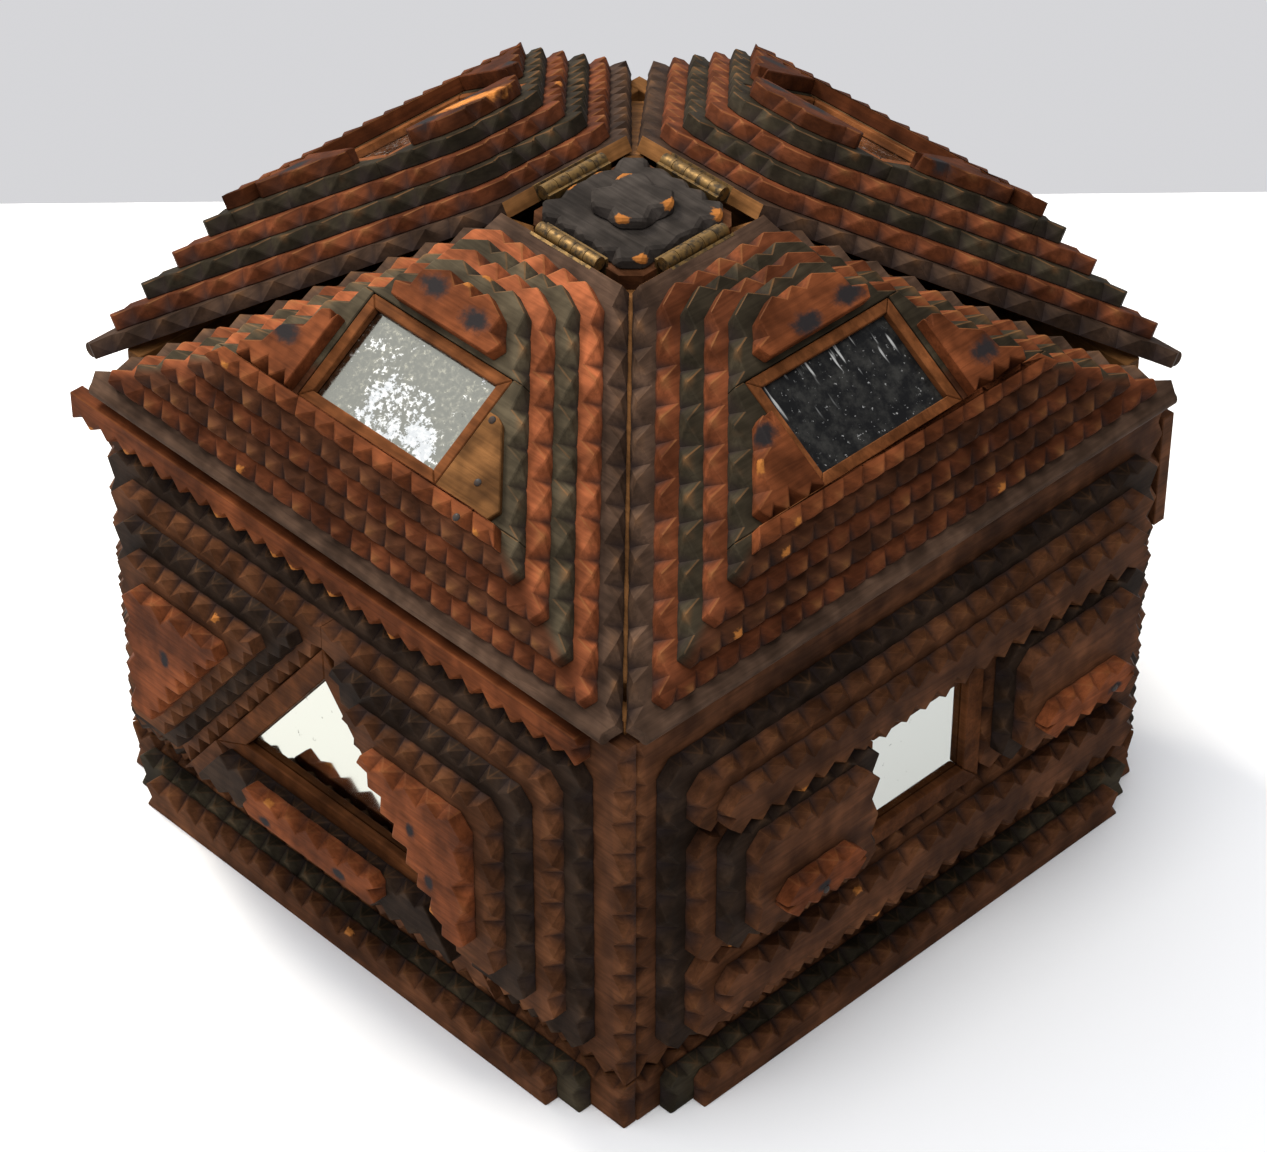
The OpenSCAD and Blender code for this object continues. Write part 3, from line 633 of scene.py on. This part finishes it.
def carving_tree():
    """Geometry nodes that cut the notches: each foot runs out to the edge, and each cut strays a little."""
    tree = bpy.data.node_groups.get("Cut notches")
    if tree:
        return tree
    tree = bpy.data.node_groups.new("Cut notches", "GeometryNodeTree")
    tree.is_modifier = True
    socket(tree, "Layer", "NodeSocketGeometry")
    socket(tree, "Notch slope", "NodeSocketFloat", value=0.9)
    socket(tree, "Extra depth", "NodeSocketFloat", value=0.001)
    socket(tree, "Hand wobble", "NodeSocketFloat", value=0.0003)
    socket(tree, "Seed", "NodeSocketInt", value=1)
    socket(tree, "Stain", "NodeSocketMaterial")
    socket(tree, "Bare wood", "NodeSocketMaterial")
    socket(tree, "Layer", "NodeSocketGeometry", out=True)
    gin = tree.nodes.new("NodeGroupInput")
    out = tree.nodes.new("NodeGroupOutput")
    run = vectors(tree, "SCALE", named(tree, "notch_out", "FLOAT_VECTOR"), gin.outputs["Notch slope"])
    deepen = vectors(tree, "SCALE", named(tree, "notch_in", "FLOAT_VECTOR"), gin.outputs["Extra depth"])
    cut = vectors(tree, "ADD", run, deepen)
    stray = node(tree, "FunctionNodeRandomValue", data_type="FLOAT_VECTOR")
    stray.inputs["Min"].default_value = (-1, -1, -1)
    stray.inputs["Max"].default_value = (1, 1, 1)
    link(tree, gin.outputs["Seed"], stray.inputs["Seed"])
    outwards = named(tree, "layer_out", "FLOAT_VECTOR")
    lift = vectors(tree, "SCALE", outwards, vectors(tree, "DOT_PRODUCT", stray.outputs[0], outwards))
    level = vectors(tree, "SUBTRACT", stray.outputs[0], lift)
    amount = maths(tree, "MULTIPLY", named(tree, "loose", "FLOAT"), gin.outputs["Hand wobble"])
    total = vectors(tree, "ADD", cut, vectors(tree, "SCALE", level, amount))
    move = node(tree, "GeometryNodeSetPosition")
    link(tree, gin.outputs["Layer"], move.inputs["Geometry"])
    link(tree, total, move.inputs["Offset"])
    whole = node(tree, "GeometryNodeRealizeInstances")
    link(tree, move.outputs[0], whole.inputs[0])
    stain = node(tree, "GeometryNodeSetMaterial")
    link(tree, whole.outputs[0], stain.inputs["Geometry"])
    link(tree, gin.outputs["Stain"], stain.inputs["Material"])
    bare = node(tree, "GeometryNodeSetMaterial")
    link(tree, stain.outputs[0], bare.inputs["Geometry"])
    link(tree, named(tree, "bare", "BOOLEAN"), bare.inputs["Selection"])
    link(tree, gin.outputs["Bare wood"], bare.inputs["Material"])
    link(tree, bare.outputs[0], out.inputs[0])
    return tree


def set_inputs(modifier, **values):
    """Sets a geometry nodes modifier's inputs by their sockets' identifiers."""
    names = {s.name.replace(" ", "_"): s.identifier for s in modifier.node_group.interface.items_tree
             if s.item_type == "SOCKET" and s.in_out == "INPUT"}
    for key, value in values.items():
        modifier[names[key]] = value


def nearest_wall(point):
    """Outward direction of the wall that a point lies by."""
    if abs(point.x) > abs(point.y):
        return Vector((math.copysign(1, point.x), 0, 0))
    return Vector((0, math.copysign(1, point.y), 0))


def solids_of(mesh):
    """Face numbers of each solid in a CAD mesh: faces joined by edges that no other solid touches."""
    bm = bmesh.new()
    bm.from_mesh(mesh)
    number = bm.faces.layers.int.new("number")
    for i, face in enumerate(bm.faces):
        face[number] = i
    bmesh.ops.remove_doubles(bm, verts=bm.verts, dist=MERGE)
    seen, solids = set(), []
    for start in bm.faces:
        if start in seen:
            continue
        seen.add(start)
        queue, solid = [start], []
        while queue:
            face = queue.pop()
            solid.append(face[number])
            for edge in face.edges:
                beside = [other for other in edge.link_faces if other not in seen]
                if len(edge.link_faces) == 2:
                    seen.update(beside)
                    queue.extend(beside)
        solids.append(solid)
    bm.free()
    return solids


def merged_copy(cad_node):
    """Closed copy of a CAD node's mesh, with its flat faces whole and its solids apart where they touch."""
    mesh = frame["nodes"][cad_node].data
    bm = bmesh.new()
    bm.from_mesh(mesh)
    bm.faces.ensure_lookup_table()
    solids = solids_of(mesh)
    groups = [list(dict.fromkeys(v for i in solid for v in bm.faces[i].verts)) for solid in solids]
    whole = {i for solid in solids for i in solid}
    slivers = [face for i, face in enumerate(bm.faces) if i not in whole]
    bmesh.ops.delete(bm, geom=slivers, context="FACES")
    for verts in groups:
        bmesh.ops.remove_doubles(bm, verts=verts, dist=MERGE)
    bmesh.ops.dissolve_limit(bm, angle_limit=FLAT, verts=bm.verts, edges=bm.edges)
    return bm


def mark_notches(bm, outward, rng, chips, corner_chips):
    """Finds the teeth of each layer and writes what the carving tree reads. outward gives a layer's way."""
    notch = bm.verts.layers.float_vector.new("notch_out")
    deeper = bm.verts.layers.float_vector.new("notch_in")
    tip = bm.verts.layers.float.new("tip")
    chip = bm.verts.layers.float.new("chip")
    loose = bm.verts.layers.float.new("loose")
    layer_out = bm.verts.layers.float_vector.new("layer_out")
    tips, feet = set(), set()
    for v in bm.verts:
        v[tip] = PLAIN
    for face in bm.faces:
        normal = outward(face.calc_center_median())
        facing = face.normal.dot(normal)
        if abs(facing) < 0.99 or len(face.verts) < 4:
            continue
        corners = [loop.vert for loop in face.loops]
        count = len(corners)
        inner = []
        for i, v in enumerate(corners):
            a, b = corners[i - 1].co, corners[(i + 1) % count].co
            inner.append((v.co - a).cross(b - v.co).dot(face.normal) < -1e-9)
        for i, v in enumerate(corners):
            v[layer_out] = normal
            beside = inner[i - 1] and inner[(i + 1) % count]
            if facing < 0:
                v[tip] = FOOT
                if inner[i]:
                    v[notch] = (corners[i - 1].co + corners[(i + 1) % count].co) / 2 - v.co
                    v[tip] = HOLLOW
                    feet.add(v)
            elif inner[i]:
                if inner[i - 2] and inner[(i + 2) % count]:
                    v[deeper] = (v.co - (corners[i - 1].co + corners[(i + 1) % count].co) / 2).normalized()
                v[tip] = CUT
                v[loose] = CUT_STRAY
            else:
                tips.add(v)
            if facing > 0 and beside and not inner[i]:
                v[tip] = TIP
                v[loose] = TIP_STRAY
                v[chip] = 1.0 if rng.random() < chips else 0.0
            elif facing > 0 and corner_chips and not inner[i]:
                v[chip] = CORNER_CHIP if rng.random() < chips else 0.0
    ridge = bm.edges.layers.float.new("bevel_weight_edge")
    hollows = feet | {v for v in bm.verts if v[loose] == CUT_STRAY}
    for edge in bm.edges:
        sharp = edge.calc_face_angle(0.0) > SHARP
        edge[ridge] = 1.0 if sharp and not all(v in hollows for v in edge.verts) else 0.0
    for face in list(bm.faces):
        top = [v for v in face.verts if v in tips]
        foot = [v for v in face.verts if v in feet]
        if len(face.verts) == 4 and len(top) == 1 and len(foot) == 1:
            bmesh.utils.face_split(face, top[0], foot[0])
            bm.edges.get((top[0], foot[0]))[ridge] = 1.0


def mark_rubbed_lit_ridges(mesh, softening, outward):
    """Marks the narrow faces along softened ridges that look up, where hands have rubbed the stain and where their
    lightening is also a painted highlight of the light from above.
    """
    rubbed = mesh.attributes.new("rubbed", "FLOAT", "FACE")
    points = [v.co for v in mesh.vertices]
    for face in mesh.polygons:
        ring = [points[i] for i in face.vertices]
        half_round = sum((a - b).length for a, b in zip(ring, ring[1:] + ring[:1])) / 2
        narrow = face.area < softening * RUBBED_LIT_WIDTH * half_round
        looks_up = face.normal.z > max(outward(face.center).z + RUBBED_LIT_LEAN, RUBBED_LIT_LEVEL)
        rubbed.data[face.index].value = 1.0 if narrow and looks_up else 0.0


def given(value, default):
    return default if value is None else value


def dressed(cad_node, normal, stain, bare, soften=1.0, wobble=None, is_bare=None, chips=None, depth=None,
            rubbed_lit_ridges=True, corner_chips=False):
    """Carved and softened piece that stands for a CAD node. normal is the outward direction of its layers, or
    gives it for a point. is_bare picks the faces that take the second material."""
    c = settings().carving
    softening = c.softening * soften
    bm = merged_copy(cad_node)
    rng = random.Random(f"{c.seed} {cad_node}")
    outward = normal if callable(normal) else lambda p: normal
    mark_notches(bm, outward, rng, given(chips, c.chips), corner_chips)
    flag = bm.faces.layers.bool.new("bare")
    if is_bare:
        for face in bm.faces:
            face[flag] = bool(is_bare(face.calc_center_median(), face.normal))
    mesh = bpy.data.meshes.new(f"{cad_node}_blank")
    bm.to_mesh(mesh)
    bm.free()
    blank = bpy.data.objects.new(f"{cad_node}_blank", mesh)
    bpy.context.scene.collection.objects.link(blank)
    cut = blank.modifiers.new("Cut notches", "NODES")
    cut.node_group = carving_tree()
    set_inputs(cut, Notch_slope=c.notch_slope, Extra_depth=given(depth, c.extra_depth),
               Hand_wobble=given(wobble, c.wobble), Seed=rng.randrange(10000), Stain=stain, Bare_wood=bare)
    soft = blank.modifiers.new("Softening", "BEVEL")
    soft.width = softening
    soft.segments = 1
    soft.limit_method = "WEIGHT"
    graph = bpy.context.evaluated_depsgraph_get()
    made = bpy.data.meshes.new_from_object(blank.evaluated_get(graph), depsgraph=graph)
    bpy.data.objects.remove(blank)
    if rubbed_lit_ridges:
        mark_rubbed_lit_ridges(made, softening, outward)
    piece = bpy.data.objects.new(f"carved_{cad_node}", made)
    bpy.context.scene.collection.objects.link(piece)
    body = next(b for b, members in frame["record"]["behaviour"]["bodies"].items() if cad_node in members)
    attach(piece, body)
    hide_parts(cad_node)
    return piece


def repaint(cad_node, material):
    """Gives a CAD node that stays in view its finish."""
    slots = frame["nodes"][cad_node].data.materials
    slots.clear()
    slots.append(material)


def nail_tree():
    """Geometry nodes that set a flattened dome on every point."""
    tree = bpy.data.node_groups.get("Nail heads")
    if tree:
        return tree
    tree = bpy.data.node_groups.new("Nail heads", "GeometryNodeTree")
    tree.is_modifier = True
    socket(tree, "Points", "NodeSocketGeometry")
    socket(tree, "Head radius", "NodeSocketFloat", value=NAIL_RADIUS)
    socket(tree, "Flatness", "NodeSocketFloat", value=NAIL_FLATNESS)
    socket(tree, "Steel", "NodeSocketMaterial")
    socket(tree, "Points", "NodeSocketGeometry", out=True)
    gin = tree.nodes.new("NodeGroupInput")
    out = tree.nodes.new("NodeGroupOutput")
    ball = node(tree, "GeometryNodeMeshUVSphere", Segments=12, Rings=8)
    link(tree, gin.outputs["Head radius"], ball.inputs["Radius"])
    flat = node(tree, "ShaderNodeCombineXYZ", X=1.0, Y=1.0)
    link(tree, gin.outputs["Flatness"], flat.inputs["Z"])
    turn = node(tree, "FunctionNodeAlignRotationToVector", axis="Z")
    link(tree, named(tree, "head_out", "FLOAT_VECTOR"), turn.inputs["Vector"])
    heads = node(tree, "GeometryNodeInstanceOnPoints")
    link(tree, gin.outputs["Points"], heads.inputs["Points"])
    link(tree, ball.outputs["Mesh"], heads.inputs["Instance"])
    link(tree, turn.outputs[0], heads.inputs["Rotation"])
    link(tree, flat.outputs[0], heads.inputs["Scale"])
    whole = node(tree, "GeometryNodeRealizeInstances")
    link(tree, heads.outputs[0], whole.inputs[0])
    steel = node(tree, "GeometryNodeSetMaterial")
    link(tree, whole.outputs[0], steel.inputs["Geometry"])
    link(tree, gin.outputs["Steel"], steel.inputs["Material"])
    link(tree, steel.outputs[0], out.inputs[0])
    return tree


# Stage

def set_camera(scene, lens):
    camera = bpy.data.cameras.new("camera")
    camera.sensor_fit = "HORIZONTAL"
    camera.sensor_width = SENSOR
    camera.lens = lens
    camera.clip_end = 20
    eye = bpy.data.objects.new("camera", camera)
    eye.matrix_world = (Matrix.Translation(EYE) @ Matrix.Rotation(TURN, 4, "Z")
                        @ Matrix.Rotation(math.radians(90) - TILT, 4, "X"))
    scene.collection.objects.link(eye)
    scene.camera = eye


def set_table(scene, colour):
    """White cloth whose far edge lies behind the box, as the camera sees it."""
    m, t, shader = new_material("table_cloth")
    where = node(t, "ShaderNodeTexCoord").outputs["Object"]
    cloth = mixed(t, noise(t, where, 3.0), colour, toned(colour, 0.985))
    link(t, cloth, shader.inputs["Base Color"])
    shader.inputs["Roughness"].default_value = 0.7
    away = Vector((-math.sin(TURN), math.cos(TURN), 0))
    across = Vector((math.cos(TURN), math.sin(TURN), 0))
    far, (right, left) = TABLE_REACH, TABLE_BACK
    ends = ((-far, -far), (far, -far), (far, right), (-far, left))
    mesh = bpy.data.meshes.new("table")
    mesh.from_pydata([tuple(across * x + away * y) for x, y in ends], [], [(0, 1, 2, 3)])
    mesh.materials.append(m)
    table = bpy.data.objects.new("table", mesh)
    scene.collection.objects.link(table)


def set_room(scene, backdrop):
    """Room light, brighter on one side, over a plain backdrop."""
    world = bpy.data.worlds.new("backdrop")
    world.use_nodes = True
    sky = world.node_tree
    towards = node(sky, "ShaderNodeTexCoord").outputs["Generated"]
    bright = node(sky, "ShaderNodeVectorMath", operation="DOT_PRODUCT")
    link(sky, towards, bright.inputs[0])
    bright.inputs[1].default_value = ROOM_WINDOW
    up = node(sky, "ShaderNodeSeparateXYZ")
    link(sky, towards, up.inputs[0])
    room = mixed(sky, ranged(sky, bright.outputs["Value"], -0.5, 0.9), ROOM_DARK, ROOM_BRIGHT)
    colour = mixed(sky, ranged(sky, up.outputs["Z"], -0.1, 0.05), backdrop, room)
    link(sky, colour, sky.nodes["Background"].inputs["Color"])
    scene.world = world
    scene.view_settings.view_transform = "Standard"


def set_lamps(scene, powers):
    for name, at, size, colour in LAMPS:
        lamp = bpy.data.lights.new(name, "AREA")
        lamp.size = size
        lamp.energy = powers[name]
        lamp.color = colour
        holder = bpy.data.objects.new(name, lamp)
        holder.location = at
        holder.rotation_euler = (LAMP_AIM - at).to_track_quat("-Z", "Y").to_euler()
        scene.collection.objects.link(holder)


# Operators

class TRAMPBOX_OT_wall_layers(bpy.types.Operator):
    """Carve the stepped layers, petals and single strips of the walls"""

    bl_idname = "trampbox.wall_layers"
    bl_label = "Wall layers"

    def execute(self, context):
        f = settings().finish
        for side in SIDES:
            place = wall_place(side)
            w = place.to_3x3() @ Vector((0, 0, 1))
            bare = bare_wood(side)
            spots = GABLE_SPOTS if side in ("front", "back") else WINDOW_SPOTS
            brown = stained_wood(f"brown_stain_{side}", tuple(f.brown), side, wear=0.15)
            dark = stained_wood(f"dark_stain_{side}", tuple(f.wall_dark), side, wear=0.12, shade=0.65)
            petal = stained_wood(f"wall_petal_{side}", tuple(f.petal), side, wear=0.18, dirt_and_shade=0.4,
                                 spots=[(place, at, half) for at, half in spots])
            dressed(f"{side}_brown_tiers", w, brown, bare, chips=WALL_CHIPS)
            dressed(f"{side}_dark_tiers", w, dark, bare)
            dressed(f"{side}_petals", w, petal, bare, chips=PETAL_CHIPS)
        strip = stained_wood("eaves_strip_stain", toned(f.petal, 0.9), "front", wear=0.2)
        dressed("eaves_strip", Vector((0, -1, 0)), strip, bare_wood("front"), chips=STRIP_CHIPS)
        corner = bpy.data.materials["brown_stain_right"]
        dressed("corner_strip", Vector((1, 0, 0)), corner, bare_wood("right"))
        return {"FINISHED"}


class TRAMPBOX_OT_plinth(bpy.types.Operator):
    """Carve the strips round the foot of the box"""

    bl_idname = "trampbox.plinth"
    bl_label = "Plinth"

    def execute(self, context):
        f = settings().finish
        for name, stain in (("brown", f.brown), ("dark", f.dark)):
            along, across = (stained_wood(f"plinth_{name}_{side}", tuple(stain), side, wear=0.15)
                             for side in NEAR_SIDES)
            dressed(f"base_{name}_strips", nearest_wall, along, across,
                    is_bare=lambda p, n: abs(p.x) > abs(p.y))
        return {"FINISHED"}


class TRAMPBOX_OT_boards(bpy.types.Operator):
    """Stain the wall boards, floor, dividers and platform"""

    bl_idname = "trampbox.boards"
    bl_label = "Boards"

    def execute(self, context):
        f = settings().finish
        for side in SIDES:
            w = wall_place(side).to_3x3() @ Vector((0, 0, 1))
            brown = stained_wood(f"board_stain_{side}", toned(f.brown, 0.6), side, wear=0.2)
            dressed(f"wall_{side}", w, brown, bare_wood(side), is_bare=lambda p, n, w=w: n.dot(w) < 0.5)
        up = Vector((0, 0, 1))
        inside = bare_wood("front")
        for cad_node in ("floor_board", "divider_a", "divider_b"):
            dressed(cad_node, up, inside, inside)
        platform = stained_wood("platform_stain", tuple(f.brown), "front", wear=0.6)
        dressed("platform", up, platform, inside, soften=2)
        return {"FINISHED"}


class TRAMPBOX_OT_cap(bpy.types.Operator):
    """Carve the black cap in the middle of the roof"""

    bl_idname = "trampbox.cap"
    bl_label = "Cap"

    def execute(self, context):
        paint = tuple(settings().finish.black)
        black = stained_wood("cap_black", paint, "front", wear=0.1, dirt_and_shade=0.2, shade=0.75)
        for cad_node, depth in CAP_DEPTHS:
            dressed(cad_node, Vector((0, 0, 1)), black, bare_wood("front"), soften=2.5, chips=CAP_CHIPS,
                    depth=depth, rubbed_lit_ridges=False, corner_chips=True)
        return {"FINISHED"}


class TRAMPBOX_OT_lids(bpy.types.Operator):
    """Carve the four roof lids"""

    bl_idname = "trampbox.lids"
    bl_label = "Lids"

    def execute(self, context):
        f = settings().finish
        for side in SIDES:
            near = side in NEAR_SIDES
            place = lid_place(side)
            turn = place.to_3x3()
            u, v, w = (turn @ Vector(a) for a in ((1, 0, 0), (0, 1, 0), (0, 0, 1)))
            home = place.to_translation()
            bare = bare_wood(side)
            # Painted light and shade: hip lightens the front lid's rows along the hips and darkens the other
            # lids', low darkens the rows along the eaves, and the petal and board factors darken the petals and
            # the far lids' boards
            hip, low, petal_painted_light, board_painted_light = LID_PAINTED_LIGHT[side]
            dark_stain = shaded_dark_eaves = toned(f.dark, hip)
            if near:
                shaded_dark_eaves = tuple((a * DARK_SHARE + b * RED_SHARE) * low for a, b in zip(f.dark, f.red))
            red = stained_wood(f"red_stain_{side}", toned(f.red, hip), side, wear=0.5,
                               eaves=(place, toned(f.red, low)))
            dark = stained_wood(f"dark_lid_{side}", dark_stain, side, wear=0.4, shade=0.65,
                                eaves=(place, shaded_dark_eaves))
            spots = FRONT_LID_SPOTS if side == "front" else OTHER_LID_SPOTS
            torn = place @ Matrix.Translation(TORN_PLACE) @ Matrix.Rotation(TORN_TURN, 4, "Z")
            petal = stained_wood(f"lid_petal_{side}", toned(f.petal, petal_painted_light), side,
                                 wear=0.35, dirt_and_shade=0.4,
                                 scars=[(torn, (0, 0, 0), TORN_SIZE)] if side == "left" else [],
                                 spots=[(place, (*at, LID_TOP), LID_SPOT_SIZE) for at in spots])
            board = stained_wood(f"lid_board_{side}", toned(f.board, board_painted_light), side, wear=0.3, shade=0.6)
            dressed(f"lid_{side}_board", w, board, bare, wobble=BOARD_WOBBLE, chips=0.0, rubbed_lit_ridges=False,
                    is_bare=lambda p, n: n.dot(w) < -0.9 or n.dot(v) > 0.9 and (p - home).dot(v) > -0.006)
            dressed(f"lid_{side}_red_tiers", w, red, bare)
            dressed(f"lid_{side}_dark_tiers", w, dark, bare)
            scraped = stained_wood("scraped_petal", toned(f.bare, 0.75), side, wear=0.5, shade=0.45)

            def is_scraped(p, n):
                across, up = (p - home).dot(u), (p - home).dot(v)
                return side == "front" and across > SCRAPED_FROM[0] and up > SCRAPED_FROM[1]

            dressed(f"lid_{side}_petals", w, petal, scraped, chips=PETAL_CHIPS, is_bare=is_scraped)
        return {"FINISHED"}


class TRAMPBOX_OT_mirrors(bpy.types.Operator):
    """Silver the mirrors and stain the beads that hold them"""

    bl_idname = "trampbox.mirrors"
    bl_label = "Mirrors"

    def execute(self, context):
        f = settings().finish
        bead = stained_wood("bead_stain", tuple(f.bead), "front", wear=0.2, shade=0.6)
        # Painted shade: the wall beads take the bead stain darkened to 0.6
        wall_bead = stained_wood("wall_bead_stain", toned(f.bead, 0.6), "front", wear=0.2, shade=0.6)
        dressed("wall_beads", Vector((0, 0, 1)), wall_bead, wall_bead)
        repaint("wall_mirrors", clear_mirror())
        for i, side in enumerate(SIDES):
            place = lid_place(side)
            dressed(f"lid_{side}_bead", place.to_3x3() @ Vector((0, 0, 1)), bead, bead)
            if side == "right":
                glass = blind_mirror(place)
            else:
                glass = silvered_glass(f"foxed_mirror_{side}", tuple(f.silver), 0.3, 0.1 * i + 0.3, place)
            repaint(f"lid_{side}_mirror", glass)
        return {"FINISHED"}


class TRAMPBOX_OT_nails(bpy.types.Operator):
    """Drive the small nails whose heads show"""

    bl_idname = "trampbox.nails"
    bl_label = "Nails"

    def execute(self, context):
        rows = (("lid_front", lid_place("front"), LID_NAILS), ("box", wall_place("right"), WALL_NAILS))
        for body, place, nails_at in rows:
            mesh = bpy.data.meshes.new(f"nail_points_{body}")
            mesh.from_pydata([tuple(place @ Vector(p)) for p in nails_at], [], [])
            head_out = mesh.attributes.new("head_out", "FLOAT_VECTOR", "POINT")
            for item in head_out.data:
                item.vector = place.to_3x3() @ Vector((0, 0, 1))
            points = bpy.data.objects.new(f"nail_points_{body}", mesh)
            context.scene.collection.objects.link(points)
            drive = points.modifiers.new("Nail heads", "NODES")
            drive.node_group = nail_tree()
            set_inputs(drive, Head_radius=NAIL_RADIUS, Flatness=NAIL_FLATNESS, Steel=nail_steel())
            graph = context.evaluated_depsgraph_get()
            made = bpy.data.meshes.new_from_object(points.evaluated_get(graph), depsgraph=graph)
            bpy.data.objects.remove(points)
            nails = bpy.data.objects.new(f"nails_{body}", made)
            context.scene.collection.objects.link(nails)
            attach(nails, body)
        return {"FINISHED"}


class TRAMPBOX_OT_hinges(bpy.types.Operator):
    """Give the hinges and pins their brass"""

    bl_idname = "trampbox.hinges"
    bl_label = "Hinges"

    def execute(self, context):
        for cad_node in ("hinge_fixed_leaves", "hinge_pins", *(f"lid_{side}_hinge_leaf" for side in SIDES)):
            repaint(cad_node, brass())
        return {"FINISHED"}


class TRAMPBOX_OT_stage(bpy.types.Operator):
    """Set the table, the light and the camera"""

    bl_idname = "trampbox.stage"
    bl_label = "Stage"

    def execute(self, context):
        s = settings().stage
        set_camera(context.scene, s.lens)
        set_table(context.scene, tuple(s.table))
        set_room(context.scene, tuple(s.backdrop))
        set_lamps(context.scene, {"key": s.key, "overhead": s.overhead})
        return {"FINISHED"}


STEPS = (TRAMPBOX_OT_stage, TRAMPBOX_OT_boards, TRAMPBOX_OT_wall_layers, TRAMPBOX_OT_plinth, TRAMPBOX_OT_lids,
         TRAMPBOX_OT_cap, TRAMPBOX_OT_mirrors, TRAMPBOX_OT_nails, TRAMPBOX_OT_hinges)


class TRAMPBOX_PT_panel(bpy.types.Panel):
    """Steps and settings of the box"""

    bl_label = "Tramp box"
    bl_space_type = "VIEW_3D"
    bl_region_type = "UI"
    bl_category = "Tramp box"

    def draw(self, context):
        for step in STEPS:
            self.layout.operator(step.bl_idname)
        box = context.scene.tramp_box
        for group in (box.carving, box.finish, box.stage):
            column = self.layout.column()
            for name in group.__annotations__:
                column.prop(group, name)


CLASSES = (CarvingSettings, FinishSettings, StageSettings, BoxSettings, *STEPS, TRAMPBOX_PT_panel)


def register():
    for cls in CLASSES:
        bpy.utils.register_class(cls)
    bpy.types.Scene.tramp_box = bpy.props.PointerProperty(type=BoxSettings)


def unregister():
    del bpy.types.Scene.tramp_box
    for cls in reversed(CLASSES):
        bpy.utils.unregister_class(cls)


def main():
    register()
    for step in STEPS:
        group, name = step.bl_idname.split(".")
        getattr(getattr(bpy.ops, group), name)()


if __name__ == "__main__":
    main()
